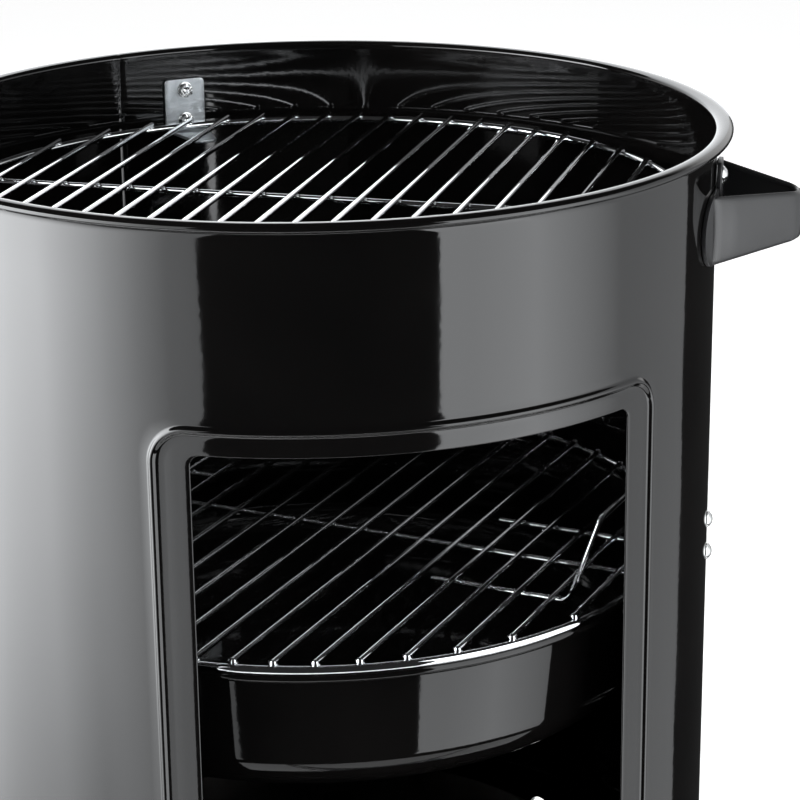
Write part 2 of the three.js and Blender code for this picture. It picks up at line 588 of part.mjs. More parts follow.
// The hook inside the lid's skirt drops over the lip of the hanger on the barrel's back.
const HOOK = { top: LID_TOP_Z - 5.6, thick: 2.4, leg: 14, out: BARREL_R + 5.5 };
const hookProfile = [
  [-HOOK.out - 30, HOOK.top], [-HOOK.out, HOOK.top], [-HOOK.out, HOOK.top - HOOK.leg],
  [-HOOK.out - HOOK.thick, HOOK.top - HOOK.leg], [-HOOK.out - HOOK.thick, HOOK.top - HOOK.thick],
  [-HOOK.out - 30, HOOK.top - HOOK.thick],
];
add('lid_hook', upright(hookProfile, 20), ZINC);

const LIP = { top: HOOK.top - HOOK.thick - GAP, out: HOOK.out + HOOK.thick + 1.6, thick: 2.6 };
const hangerProfile = [
  [LIP.out + LIP.thick, LIP.top], [LIP.out, LIP.top], [LIP.out, LIP.top - 15], [BARREL_R + GAP, LIP.top - 15],
  [BARREL_R + GAP, LIP.top - 46], [BARREL_R + GAP + 2.4, LIP.top - 46], [BARREL_R + GAP + 2.4, LIP.top - 18],
  [LIP.out + LIP.thick, LIP.top - 18],
].map(([out, up]) => [-out, up]);
add('lid_hanger', upright(hangerProfile, 24), ZINC);

// ---- frame -----------------------------------------------------------------------------------------------

// The origin is on the floor, in the middle of the whole object's footprint.
const bounds = new THREE.Box3().setFromObject(smoker);
const middle = bounds.getCenter(new THREE.Vector3());
smoker.position.set(-middle.x, -middle.y, -bounds.min.z);

export default smoker;
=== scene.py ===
"""The looks of the vertical water smoker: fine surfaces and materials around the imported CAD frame.

Shapes are drawn in millimetres about the barrel's upright axis, with z up from the floor and the door facing
-Y, and are put into the frame in metres. Azimuths are in degrees from the door's middle, positive towards +X,
and a piece is drawn as if it sat at azimuth 0.
"""

import json
import math
import random

import bmesh
import bpy
from mathutils import Matrix, Vector


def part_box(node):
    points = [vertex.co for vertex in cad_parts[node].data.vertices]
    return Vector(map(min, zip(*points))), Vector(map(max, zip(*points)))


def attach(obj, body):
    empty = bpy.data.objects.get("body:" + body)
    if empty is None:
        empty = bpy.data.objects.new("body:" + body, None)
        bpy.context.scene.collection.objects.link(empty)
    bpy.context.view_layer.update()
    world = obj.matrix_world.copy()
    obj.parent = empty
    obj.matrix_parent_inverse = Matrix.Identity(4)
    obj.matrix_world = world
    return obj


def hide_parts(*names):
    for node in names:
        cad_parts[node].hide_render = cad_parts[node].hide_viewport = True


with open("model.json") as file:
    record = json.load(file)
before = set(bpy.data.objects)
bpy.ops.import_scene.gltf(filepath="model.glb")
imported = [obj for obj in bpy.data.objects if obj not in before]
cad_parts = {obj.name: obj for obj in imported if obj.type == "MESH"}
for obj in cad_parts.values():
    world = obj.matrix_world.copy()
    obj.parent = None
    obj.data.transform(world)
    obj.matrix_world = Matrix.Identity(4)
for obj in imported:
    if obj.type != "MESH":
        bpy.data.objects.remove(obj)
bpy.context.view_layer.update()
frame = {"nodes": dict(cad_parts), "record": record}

# ---- driving dimensions, from the frame -------------------------------------------------------------------

MM = 0.001
shell_low, shell_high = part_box("barrel_shell")
AXIS_Y = (shell_low.y + shell_high.y) / 2
ROLL_HALF = 2.8                                  # half the rolled rim's height
ROLL_RISE = 2.4                                  # from the wall's end to the middle of the rolled rim
RIM_Z = shell_high.z / MM - ROLL_HALF - ROLL_RISE  # the wall's end, under the rolled rim
WALL_TOP = RIM_Z - 4.5                           # where the wall begins to bend out into the rim
WALL_BOTTOM = shell_low.z / MM


def span(node):
    """A CAD node's lowest and highest corner, in millimetres about the barrel's axis."""
    low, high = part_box(node)
    axis = Vector((0, AXIS_Y, 0))
    return (low - axis) / MM, (high - axis) / MM


SHEET = 1.6
BARREL_R = 233.5
RIM_REACH = 8.7                                  # how far the rolled rim stands out from the wall
SEAM_AZIMUTH = -163.1                            # the barrel's weld seam

OPENING_HALF = BARREL_R * math.radians(30.75)    # half the opening's width along the wall
OPENING_TOP = RIM_Z - 119
OPENING_BOTTOM = RIM_Z - 405
OPENING_CORNER = 6.0
BEAD_SIDE = 20.6                                 # from the opening's side to the pressed bead round it
BEAD_TOP = 13.7                                  # from its top and bottom to the bead
BEAD_CORNER = 19.0
BEAD_HALF = 3.2
BEAD_HEIGHT = 2.3

GRATE_PITCH = 20.6
RING_WIRE = 2.5
BAR_WIRE = 1.8
UPPER_GRATE = {"ring_z": RIM_Z - 43.7, "radius": 218.3, "turn": 31.7, "pitch": GRATE_PITCH, "supports": (3,)}
LOWER_GRATE = {"ring_z": RIM_Z - 245, "radius": 212.4, "turn": 41.7, "pitch": GRATE_PITCH, "supports": (0,)}
CHARCOAL_GRATE = {"ring_z": 172, "radius": 209, "turn": 0, "pitch": 30, "supports": (-80, 80)}

BOLT_ROWS = (-21.6, -41.8)                       # the bolts of a bracket or a handle, from the rim
LEVEL_DROP = 208                                 # from the upper brackets to the lower ones
BRACKETS = {"right": 64, "back": -174, "left": -65}
HANDLES = {"right": 69, "left": -111}
HANDLE_BOLT_TURN = -5                            # from a handle's middle to its bolts
HANDLE_PLATE = 3.2                               # what a handle adds to the wall under a bolt's head
LEGS = {"right": 60, "left": -60, "back": 180}
LEG_BOLTS_Z = (220, 246)
DAMPERS = {"front": 0, "right": 120, "left": -120}
DAMPER_Z = 240
BOWL_WALL_R = 229.0

LID_R = 238.0
LID_DEPTH = 160.0
LID_SKIRT = 14.0
LID_OPEN_Y = BARREL_R + 9
LID_Z = RIM_Z - 38 - LID_R

DOOR_OPEN = 165
DOOR_HALF = BARREL_R * math.radians(34.25)       # half the door's width along the wall
HINGE_Y = -(BARREL_R + 8)
HINGE_Z = OPENING_BOTTOM - 16
LATCH_Z = OPENING_TOP - 18

BODY_OF = {node: body for body, nodes in frame["record"]["behaviour"]["bodies"].items() for node in nodes}


# ---- outlines and parts -----------------------------------------------------------------------------------
# A part is (vertices, faces); vertices are in millimetres.

def fillet(points, radius, steps=5, closed=False):
    """Rounds the corners of an outline of (a, b) points. radius is one number, or one for each point."""
    count = len(points)
    radii = radius if isinstance(radius, (list, tuple)) else [radius] * count
    rounded = []
    for i, point in enumerate(points):
        here = Vector(point)
        before, after = Vector(points[i - 1]) - here, Vector(points[(i + 1) % count]) - here
        at_end = not closed and i in (0, count - 1)
        sharp = at_end or radii[i] == 0 or min(before.length, after.length) < 1e-6
        if sharp or before.angle(after) > math.radians(178):
            rounded.append(tuple(here))
            continue
        half = before.angle(after) / 2
        reach = min(radii[i] / math.tan(half), 0.49 * before.length, 0.49 * after.length)
        centre = here + (before.normalized() + after.normalized()).normalized() * reach / math.cos(half)
        start, end = here + before.normalized() * reach - centre, here + after.normalized() * reach - centre
        turn = start.angle(end)
        for k in range(steps + 1):
            share = k / steps
            spoke = (start * math.sin((1 - share) * turn) + end * math.sin(share * turn)) / math.sin(turn)
            rounded.append(tuple(centre + spoke))
    return rounded


def grid_faces(rows, columns, close_rows=False, close_columns=False):
    """Quads of a grid of vertices stored row by row."""
    faces = []
    for i in range(rows if close_rows else rows - 1):
        for j in range(columns if close_columns else columns - 1):
            a, b = i * columns + j, i * columns + (j + 1) % columns
            c, d = ((i + 1) % rows) * columns + (j + 1) % columns, ((i + 1) % rows) * columns + j
            faces.append((a, b, c, d))
    return faces


def lathe(profile, segments=160, closed=True):
    """A profile of (radius, z) points turned about the z axis."""
    verts = []
    for radius, z in profile:
        for j in range(segments):
            angle = 2 * math.pi * j / segments
            verts.append((radius * math.sin(angle), -radius * math.cos(angle), z))
    return verts, grid_faces(len(profile), segments, closed, True)


def wire_end(centre, ahead, tangent, radius, round_end):
    """Shrinking rings that close a wire's end, from the end inwards. ahead points out of the wire."""
    rings = []
    for degrees in (88, 60, 30):
        out = math.sin(math.radians(degrees))
        if round_end:
            rings.append((centre + ahead * radius * out, tangent, radius * math.cos(math.radians(degrees))))
        else:
            rings.append((centre + ahead * (0.12 * radius) * out, tangent, radius * (1 - 0.12 * out)))
    return rings


def tube(points, radius, sides=12, closed=False, round_ends=True):
    """A round wire along a path."""
    path = [Vector(p) for p in points]
    last = len(path) - 1
    if closed:
        tangents = [(path[(i + 1) % (last + 1)] - path[i - 1]).normalized() for i in range(last + 1)]
    else:
        tangents = [(path[min(i + 1, last)] - path[max(i - 1, 0)]).normalized() for i in range(last + 1)]
    rings = [(path[i], tangents[i], radius) for i in range(last + 1)]
    if not closed:
        start = wire_end(path[0], -tangents[0], tangents[0], radius, round_ends)
        end = wire_end(path[-1], tangents[-1], tangents[-1], radius, round_ends)
        rings = start + rings + end[::-1]
    side = rings[0][1].orthogonal().normalized()
    verts = []
    for centre, tangent, ring_radius in rings:
        side = (side - tangent * side.dot(tangent)).normalized()
        other = tangent.cross(side)
        for j in range(sides):
            angle = 2 * math.pi * j / sides
            verts.append(tuple(centre + (side * math.cos(angle) + other * math.sin(angle)) * ring_radius))
    faces = grid_faces(len(rings), sides, closed, True)
    if not closed:
        faces += [tuple(reversed(range(sides))), tuple(range((len(rings) - 1) * sides, len(rings) * sides))]
    return verts, faces


def slab(outline, low, high):
    """A flat outline of (x, z) points, given depth along Y from low to high."""
    count = len(outline)
    verts = [(x, low, z) for x, z in outline] + [(x, high, z) for x, z in outline]
    faces = [tuple(range(count)), tuple(reversed(range(count, 2 * count)))]
    faces += [(i, i + count, (i + 1) % count + count, (i + 1) % count) for i in range(count)]
    return verts, faces


def rectangle(width, height, corner, centre=(0, 0)):
    """A rectangle's outline with round corners."""
    (x, z), (w, h) = centre, (width / 2, height / 2)
    return fillet([(x - w, z - h), (x + w, z - h), (x + w, z + h), (x - w, z + h)], corner, 5, True)


def circle(radius, steps, centre=(0, 0)):
    angles = [2 * math.pi * i / steps for i in range(steps)]
    return [(centre[0] + radius * math.cos(a), centre[1] + radius * math.sin(a)) for a in angles]


def arc(centre, radii, start, turn, steps):
    """Points of a part of an ellipse, from an angle through a turn, in degrees."""
    angles = [math.radians(start + turn * k / steps) for k in range(steps + 1)]
    return [(centre[0] + radii[0] * math.cos(a), centre[1] + radii[1] * math.sin(a)) for a in angles]


def blob(centre, radii, rows=6, columns=10):
    """An ellipsoid, for a weld."""
    verts = []
    for i in range(rows + 1):
        tilt = math.pi * i / rows
        for j in range(columns):
            turn = 2 * math.pi * j / columns
            unit = (math.sin(tilt) * math.cos(turn), math.sin(tilt) * math.sin(turn), math.cos(tilt))
            verts.append(tuple(c + r * u for c, r, u in zip(centre, radii, unit)))
    return verts, grid_faces(rows + 1, columns, False, True)


def moved(part, *matrices):
    """A part with the matrices applied in order."""
    verts, faces = part
    total = Matrix.Identity(4)
    for matrix in matrices:
        total = matrix @ total
    return [tuple(total @ Vector(v)) for v in verts], faces


def shift(x, y, z):
    return Matrix.Translation((x, y, z))


def spin(degrees, axis="Z"):
    return Matrix.Rotation(math.radians(degrees), 4, axis)


FACING_OUT = spin(90, "X")                       # turns a part drawn along +Z to run along -Y
FRAME_PLACE = shift(0, AXIS_Y, 0) @ Matrix.Scale(MM, 4)


# ---- meshes and pieces ------------------------------------------------------------------------------------

def add_object(name, data):
    obj = bpy.data.objects.new(name, data)
    bpy.context.scene.collection.objects.link(obj)
    return obj


def welded_mesh(name, part):
    """A mesh of a part, with vertices that meet joined and the faces turned outwards."""
    verts, faces = part
    mesh = bpy.data.meshes.new(name)
    mesh.from_pydata(verts, [], faces)
    shape = bmesh.new()
    shape.from_mesh(mesh)
    bmesh.ops.remove_doubles(shape, verts=shape.verts, dist=2e-6)
    bmesh.ops.dissolve_degenerate(shape, edges=shape.edges, dist=1e-7)
    bmesh.ops.recalc_face_normals(shape, faces=shape.faces)
    shape.to_mesh(mesh)
    shape.free()
    return mesh


def round_edges(obj, width, angle, segments=3):
    """Bevels the edges that are sharper than an angle in degrees."""
    edges = obj.modifiers.new("edges", "BEVEL")
    edges.width, edges.segments, edges.limit_method = width * MM, segments, "ANGLE"
    edges.angle_limit = math.radians(angle)


def apply_modifiers(obj):
    if not obj.modifiers:
        return
    graph = bpy.context.evaluated_depsgraph_get()
    final = bpy.data.meshes.new_from_object(obj.evaluated_get(graph))
    obj.modifiers.clear()
    obj.data = final


def shade(obj, angle):
    """Smooth shading, apart from edges sharper than an angle in degrees."""
    obj.data.shade_smooth()
    obj.data.set_sharp_from_angle(angle=math.radians(angle))


def cut_hole(obj, tool_part):
    """Subtracts a closed part from the object's mesh."""
    tool = add_object("tool", welded_mesh("tool", tool_part))
    cut = obj.modifiers.new("cut", "BOOLEAN")
    cut.operation, cut.object, cut.solver = "DIFFERENCE", tool, "EXACT"
    bpy.context.view_layer.update()
    apply_modifiers(obj)
    bpy.data.objects.remove(tool)


def piece(name, parts, material, *nodes, azimuth=0, bevel=0, smooth=38, holes=()):
    """Makes one piece from parts, and puts it in the place of CAD nodes, on their body."""
    verts, faces = [], []
    for part_verts, part_faces in parts:
        faces += [tuple(i + len(verts) for i in face) for face in part_faces]
        verts += part_verts
    place = FRAME_PLACE @ spin(azimuth)
    obj = add_object(name, welded_mesh(name, moved((verts, faces), place)))
    obj.data.materials.append(material)
    for hole in holes:
        cut_hole(obj, moved(hole, place))
    if bevel:
        round_edges(obj, bevel, 40)
    apply_modifiers(obj)
    shade(obj, smooth)
    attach(obj, BODY_OF[nodes[0]])
    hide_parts(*nodes)
    return obj


def bevelled(node, material, width):
    """A piece with the CAD node's own shape, and rounded edges."""
    mesh = frame["nodes"][node].data.copy()
    shape = bmesh.new()
    shape.from_mesh(mesh)
    bmesh.ops.remove_doubles(shape, verts=shape.verts, dist=1e-5)
    bmesh.ops.dissolve_limit(shape, angle_limit=math.radians(1), verts=shape.verts, edges=shape.edges)
    shape.to_mesh(mesh)
    shape.free()
    obj = add_object(f"{node}_shape", mesh)
    mesh.materials.clear()
    mesh.materials.append(material)
    round_edges(obj, width, 28)
    apply_modifiers(obj)
    shade(obj, 40)
    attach(obj, BODY_OF[node])
    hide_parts(node)


def thicken(obj, thickness, towards, azimuth):
    """Gives an open sheet its thickness on the side that looks towards a direction, and rounds its edges."""
    direction = spin(azimuth).to_3x3() @ towards
    shape = bmesh.new()
    shape.from_mesh(obj.data)
    shape.faces.ensure_lookup_table()
    if shape.faces[0].normal.dot(direction) > 0:
        bmesh.ops.reverse_faces(shape, faces=shape.faces)
    shape.to_mesh(obj.data)
    shape.free()
    solid = obj.modifiers.new("sheet", "SOLIDIFY")
    solid.thickness, solid.offset, solid.use_even_offset = thickness * MM, -1, True
    round_edges(obj, 0.4, 50, 2)
    apply_modifiers(obj)
    shade(obj, 50)


# ---- materials --------------------------------------------------------------------------------------------

class Nodes:
    """The node tree of a material or a world, with short calls to build it."""

    def __init__(self, owner):
        owner.use_nodes = True
        self.tree = owner.node_tree

    def node(self, kind, **settings):
        made = self.tree.nodes.new(kind)
        for key, value in settings.items():
            setattr(made, key, value)
        return made

    def link(self, source, target):
        self.tree.links.new(source, target)

    def spread(self, source, low, high, start=0.3, end=0.7, kind="LINEAR"):
        """Maps a value that runs from start to end onto low to high."""
        made = self.node("ShaderNodeMapRange", interpolation_type=kind)
        for key, value in (("From Min", start), ("From Max", end), ("To Min", low), ("To Max", high)):
            made.inputs[key].default_value = value
        self.link(source, made.inputs["Value"])
        return made.outputs["Result"]

    def combine(self, operation, source, other):
        """Combines a socket with another one or with a number."""
        made = self.node("ShaderNodeMath", operation=operation)
        self.link(source, made.inputs[0])
        if isinstance(other, float):
            made.inputs[1].default_value = other
        else:
            self.link(other, made.inputs[1])
        return made.outputs["Value"]


class Finish(Nodes):
    """A Principled material whose colour, roughness and bump come from textures in the piece's own space."""

    def __init__(self, name, metallic, specular=0.5):
        self.material = bpy.data.materials.new(name)
        super().__init__(self.material)
        self.shader = self.tree.nodes["Principled BSDF"]
        self.shader.inputs["Metallic"].default_value = metallic
        self.shader.inputs["Specular IOR Level"].default_value = specular
        self.coords = self.node("ShaderNodeTexCoord").outputs["Object"]
        self.normal = None

    def noise(self, scale, detail, stretch=None):
        made = self.node("ShaderNodeTexNoise")
        made.inputs["Scale"].default_value = scale
        made.inputs["Detail"].default_value = detail
        space = self.coords
        if stretch is not None:
            mapping = self.node("ShaderNodeMapping")
            mapping.inputs["Scale"].default_value = stretch
            self.link(self.coords, mapping.inputs["Vector"])
            space = mapping.outputs["Vector"]
        self.link(space, made.inputs["Vector"])
        return made.outputs["Fac"]

    def cells(self, scale, output="Distance"):
        made = self.node("ShaderNodeTexVoronoi")
        made.inputs["Scale"].default_value = scale
        self.link(self.coords, made.inputs["Vector"])
        return made.outputs[output]

    def colour(self, source, *stops):
        ramp = self.node("ShaderNodeValToRGB")
        elements = ramp.color_ramp.elements
        while len(elements) < len(stops):
            elements.new(0.5)
        for element, (place, colour) in zip(elements, stops):
            element.position = place
            element.color = (*colour, 1)
        self.link(source, ramp.inputs["Fac"])
        self.link(ramp.outputs["Color"], self.shader.inputs["Base Color"])

    def roughness(self, source, low, high):
        self.link(self.spread(source, low, high), self.shader.inputs["Roughness"])

    def bump(self, height, depth):
        made = self.node("ShaderNodeBump")
        made.inputs["Distance"].default_value = depth
        self.link(height, made.inputs["Height"])
        if self.normal is not None:
            self.link(self.normal, made.inputs["Normal"])
        self.normal = made.outputs["Normal"]
        self.link(self.normal, self.shader.inputs["Normal"])


def noise_finish(name, metallic, stops, colour, roughness, *bumps, specular=0.5):
    """A material of noise alone.

    stops are its colours, and colour is (scale, detail) of the noise between them. roughness is (scale,
    detail, low, high), and a bump is (scale, detail, depth), with a stretch where it has one.
    """
    made = Finish(name, metallic, specular)
    made.colour(made.noise(*colour), *stops)
    scale, detail, low, high = roughness
    made.roughness(made.noise(scale, detail), low, high)
    for scale, detail, depth, *stretch in bumps:
        made.bump(made.noise(scale, detail, *stretch), depth)
    return made.material


def enamel(name, wave, specular):
    """Black porcelain enamel on sheet steel: orange peel, a slow waviness of the sheet and faint smears."""
    stops = (0.35, (0.0016, 0.0015, 0.0015)), (0.7, (0.0030, 0.0027, 0.0026))
    bumps = (7, 1, 0.0009 * wave), (210, 1.5, 0.000016), (900, 1, 0.000002)
    return noise_finish(name, 0.0, stops, (9, 3), (14, 4, 0.035, 0.075), *bumps, specular=specular)


def powder_coat():
    """Satin black powder coat, finely pebbled."""
    stops = (0.3, (0.010, 0.010, 0.0105)), (0.75, (0.016, 0.016, 0.017))
    return noise_finish("powder_coat", 0.0, stops, (30, 3), (60, 3, 0.30, 0.38), (1100, 2, 0.00002))


def chrome():
    """Bright plating over drawn wire, with a few duller patches."""
    stops = (0.3, (0.66, 0.67, 0.69)), (0.75, (0.80, 0.81, 0.82))
    return noise_finish("chrome_wire", 1.0, stops, (45, 3), (70, 3, 0.02, 0.07), (420, 2, 0.000007))


def zinc():
    """Galvanised sheet: faint crystal spangle, rolling marks and a fine grain."""
    made = Finish("galvanised", 1.0)
    grey = made.node("ShaderNodeRGBToBW")
    made.link(made.cells(260, "Color"), grey.inputs["Color"])
    spangle = made.spread(grey.outputs["Val"], 0.0, 0.35, 0.0, 1.0)
    mixed = made.combine("ADD", spangle, made.spread(made.noise(35, 4), 0.1, 0.65))
    made.colour(mixed, (0.1, (0.40, 0.43, 0.45)), (0.9, (0.62, 0.65, 0.67)))
    made.roughness(made.noise(80, 4), 0.34, 0.48)
    made.bump(made.noise(240, 3, (12.0, 12.0, 0.9)), 0.000025)
    made.bump(made.noise(900, 2), 0.000012)
    return made.material


def bright_zinc():
    """Bright zinc plating of the bolts and nuts."""
    stops = (0.3, (0.62, 0.63, 0.63)), (0.75, (0.78, 0.79, 0.78))
    return noise_finish("plated_bolt", 1.0, stops, (200, 3), (300, 3, 0.16, 0.28), (700, 2, 0.00003))


def heat_tinted_steel():
    """Plain steel, brown and grey from the fire."""
    stops = (0.3, (0.08, 0.075, 0.07)), (0.5, (0.14, 0.13, 0.125)), (0.75, (0.20, 0.20, 0.20))
    return noise_finish("fired_steel", 1.0, stops, (18, 5), (40, 4, 0.36, 0.58), (500, 3, 0.00004))


def aluminium():
    """Mill-finish aluminium with rolling lines."""
    stops = (0.3, (0.60, 0.61, 0.62)), (0.75, (0.74, 0.75, 0.76))
    bumps = (160, 3, 0.00003, (1.0, 1.0, 14.0)), (60, 2, 0.00004)
    return noise_finish("mill_aluminium", 1.0, stops, (12, 4), (30, 4, 0.26, 0.42), *bumps)


def nylon():
    """Glass-filled black nylon with a moulded grain."""
    made = Finish("black_nylon", 0.0, 0.45)
    made.colour(made.noise(40, 3), (0.3, (0.011, 0.011, 0.012)), (0.75, (0.020, 0.020, 0.021)))
    made.roughness(made.noise(90, 3), 0.42, 0.56)
    made.bump(made.cells(1300), 0.00003)
    made.bump(made.noise(300, 3), 0.00004)
    return made.material


def dial_face():
    """The thermometer's pale painted face."""
    stops = (0.3, (0.62, 0.62, 0.60)), (0.75, (0.70, 0.70, 0.68))
    return noise_finish("dial_face", 0.0, stops, (60, 2), (90, 2, 0.25, 0.35), (500, 1, 0.00001))


def dial_ink(name, colour):
    stops = (0.3, tuple(0.7 * c for c in colour)), (0.75, colour)
    return noise_finish(name, 0.0, stops, (200, 2), (200, 2, 0.35, 0.5), (900, 1, 0.00001), specular=0.4)


BARREL_ENAMEL = enamel("barrel_enamel", 1.0, 0.5)
ENAMEL = enamel("pan_enamel", 0.5, 0.3)
POWDER = powder_coat()
CHROME = chrome()
ZINC = zinc()
PLATED = bright_zinc()
STEEL = heat_tinted_steel()
ALUMINIUM = aluminium()
NYLON = nylon()
DIAL = dial_face()
INK = dial_ink("dial_ink", (0.02, 0.02, 0.022))
RED_INK = dial_ink("dial_red", (0.35, 0.02, 0.015))


# ---- curved sheet with a framed window --------------------------------------------------------------------
# A sheet is laid out flat as (along, z), along being the distance round the wall from the door's middle.

SIDE_STEPS, END_STEPS, CORNER_STEPS = 28, 34, 12


def frame_loop(half_width, top, bottom, corner, square=0.0):
    """A rounded rectangle on the flat sheet. square pushes the corner's points out to the sharp corner."""
    w, loop = half_width - corner, []
    runs = (
        ((w, bottom + corner), (w, top - corner), 0, SIDE_STEPS, (corner, 0)),
        ((w, top - corner), (-w, top - corner), 90, END_STEPS, (0, corner)),
        ((-w, top - corner), (-w, bottom + corner), 180, SIDE_STEPS, (-corner, 0)),
        ((-w, bottom + corner), (w, bottom + corner), 270, END_STEPS, (0, -corner)),
    )
    for start, end, angle, steps, (push_x, push_z) in runs:
        for k in range(steps):
            share = k / steps
            along = start[0] + (end[0] - start[0]) * share + push_x
            loop.append((along, start[1] + (end[1] - start[1]) * share + push_z))
        for k in range(CORNER_STEPS):
            turn = math.radians(angle + 90 * k / CORNER_STEPS)
            reach = corner / (1 - square + square * max(abs(math.cos(turn)), abs(math.sin(turn))))
            loop.append((end[0] + reach * math.cos(turn), end[1] + reach * math.sin(turn)))
    return loop


def grown(values, by):
    """The frame_loop values of a loop that lies further out by a distance."""
    half_width, top, bottom, corner, square = values
    return half_width + by, top + by, bottom - by, corner + by, square


def blend_loops(first, last, steps):
    """Tuples of frame_loop values between a first and a last one, without these two."""
    return [tuple(a + (b - a) * k / steps for a, b in zip(first, last)) for k in range(1, steps)]


def wrapped(along, z, radius):
    """A point of the flat sheet, wrapped round the barrel's axis at a radius."""
    angle = along / BARREL_R
    return radius * math.sin(angle), -radius * math.cos(angle), z


def seam_dent(along):
    """How far the weld seam presses the wall inwards."""
    around = 2 * math.pi * BARREL_R
    off = (along - math.radians(SEAM_AZIMUTH) * BARREL_R + around / 2) % around - around / 2
    return 0.6 * math.exp(-((off / 1.5) ** 2))


# ---- barrel -----------------------------------------------------------------------------------------------
# The wall is a sheet round the opening and the plain rest of the wall, which meet at the border.

# frame_loop values of the border, whose corners are square
BORDER = (OPENING_HALF + 42, OPENING_TOP + 32, OPENING_BOTTOM - 32, 34, 1)


def rim_profile():
    """The rolled rim from the wall's outside over the top to its inside, as (radius, z)."""
    inner, reach = BARREL_R - SHEET, 5.2
    middle, height = BARREL_R + RIM_REACH - reach, RIM_Z + ROLL_RISE
    points = [(BARREL_R, WALL_TOP), (BARREL_R + 0.1, RIM_Z - 2.3), (BARREL_R + 0.7, RIM_Z - 1.2)]
    points += arc((middle, height), (reach, ROLL_HALF), -112, 292, 24)
    return points + [(inner, RIM_Z), (inner, WALL_TOP)]


def window_parts():
    """Both skins of the sheet round the opening, with the pressed bead, and the opening's rounded edge."""
    edge = 0.5 * SHEET
    edge_loop = grown((OPENING_HALF, OPENING_TOP, OPENING_BOTTOM, OPENING_CORNER, 0), edge)
    bead = (OPENING_HALF + BEAD_SIDE, OPENING_TOP + BEAD_TOP, OPENING_BOTTOM - BEAD_TOP, BEAD_CORNER, 0)
    near_bead, far_bead = grown(bead, -BEAD_HALF), grown(bead, BEAD_HALF)
    loops = [(edge_loop, 0)] + [(loop, 0) for loop in blend_loops(edge_loop, near_bead, 4)]
    bead_steps = 12
    for k in range(bead_steps + 1):
        offset = BEAD_HALF * (2 * k / bead_steps - 1)
        rise = BEAD_HEIGHT * math.cos(0.5 * math.pi * offset / BEAD_HALF) ** 2
        loops.append((grown(bead, offset), rise))
    loops += [(loop, 0) for loop in blend_loops(far_bead, BORDER, 4)] + [(BORDER, 0)]
    flat_loops = [(frame_loop(*values), rise) for values, rise in loops]
    samples = len(flat_loops[0][0])

    parts = []
    for skin in (BARREL_R, BARREL_R - SHEET):
        verts = [wrapped(along, z, skin + rise) for loop, rise in flat_loops for along, z in loop]
        parts.append((verts, grid_faces(len(flat_loops), samples, False, True)))
    verts = []
    for k in range(9):
        turn = math.pi * k / 8
        ring = frame_loop(*grown(edge_loop, -edge * math.sin(turn)))
        verts += [wrapped(along, z, BARREL_R - edge + edge * math.cos(turn)) for along, z in ring]
    return parts + [(verts, grid_faces(9, samples, False, True))]


def wall_columns():
    """Where the wall's columns stand along it, once round, and how many of the first ones are in the border.

    They stand close together at the weld seam.
    """
    half, top = BORDER[:2]
    columns_in = sorted({round(along, 5) for along, z in frame_loop(*BORDER) if abs(z - top) < 1e-6})
    around = 2 * math.pi * BARREL_R
    seam = math.radians(SEAM_AZIMUTH) * BARREL_R + around
    columns_out = [half + (around - 2 * half) * k / 240 for k in range(1, 240)]
    columns_out = [along for along in columns_out if abs(along - seam) > 6]
    columns_out += [seam + off for off in (-5, -2.6, -1.7, -0.9, 0, 0.9, 1.7, 2.6, 5)]
    return columns_in + sorted(columns_out), len(columns_in)


def wall_rows():
    """The heights of the wall's rows, with the border's own between its bottom and its top."""
    half, top, bottom = BORDER[:3]
    rows_in = sorted({round(z, 5) for along, z in frame_loop(*BORDER) if abs(along - half) < 1e-6})
    rows_below = [WALL_BOTTOM + 0.5] + [WALL_BOTTOM + (bottom - WALL_BOTTOM) * k / 6 for k in range(1, 6)]
    rows_above = [top + (WALL_TOP - top) * k / 8 for k in range(1, 8)]
    return rows_below + rows_in + rows_above + [WALL_TOP]


def barrel_wall():
    parts = window_parts()
    columns, border_columns = wall_columns()
    rows = wall_rows()
    top, bottom = BORDER[1:3]
    for skin, dent in ((BARREL_R, 0.5), (BARREL_R - SHEET, 1)):
        verts = [wrapped(along, z, skin - dent * seam_dent(along)) for z in rows for along in columns]
        faces = []
        for face in grid_faces(len(rows), len(columns), False, True):
            i, j = divmod(face[0], len(columns))
            in_border = bottom - 0.01 <= rows[i] < top - 0.01 and j < border_columns - 1
            if not in_border:
                faces.append(face)
        parts.append((verts, faces))
    inner = BARREL_R - SHEET
    lip = [(BARREL_R, WALL_BOTTOM + 0.5), (BARREL_R - 0.3, WALL_BOTTOM), (inner + 0.3, WALL_BOTTOM),
           (inner, WALL_BOTTOM + 0.5)]
    for profile in (rim_profile(), lip):
        verts = []
        for k, (radius, z) in enumerate(profile):
            dent = 0.5 + 0.5 * k / (len(profile) - 1)
            verts += [wrapped(along, z, radius - dent * seam_dent(along)) for along in columns]
        parts.append((verts, grid_faces(len(profile), len(columns), False, True)))
    piece("barrel_wall", parts, BARREL_ENAMEL, "barrel_shell", smooth=50)


# ---- bolts ------------------------------------------------------------------------------------------------
# A bolt is drawn along +Z, with z = 0 on the outside of what it clamps, and then turned to face out.

BOLT_HEAD_R = 5.0
BOLT_SHANK_R = 2.4
NUT_HALF = 3.95                                  # from the nut's middle to a flat side
NUT_TURNED_R = 3.7                               # the round faces at the nut's two ends


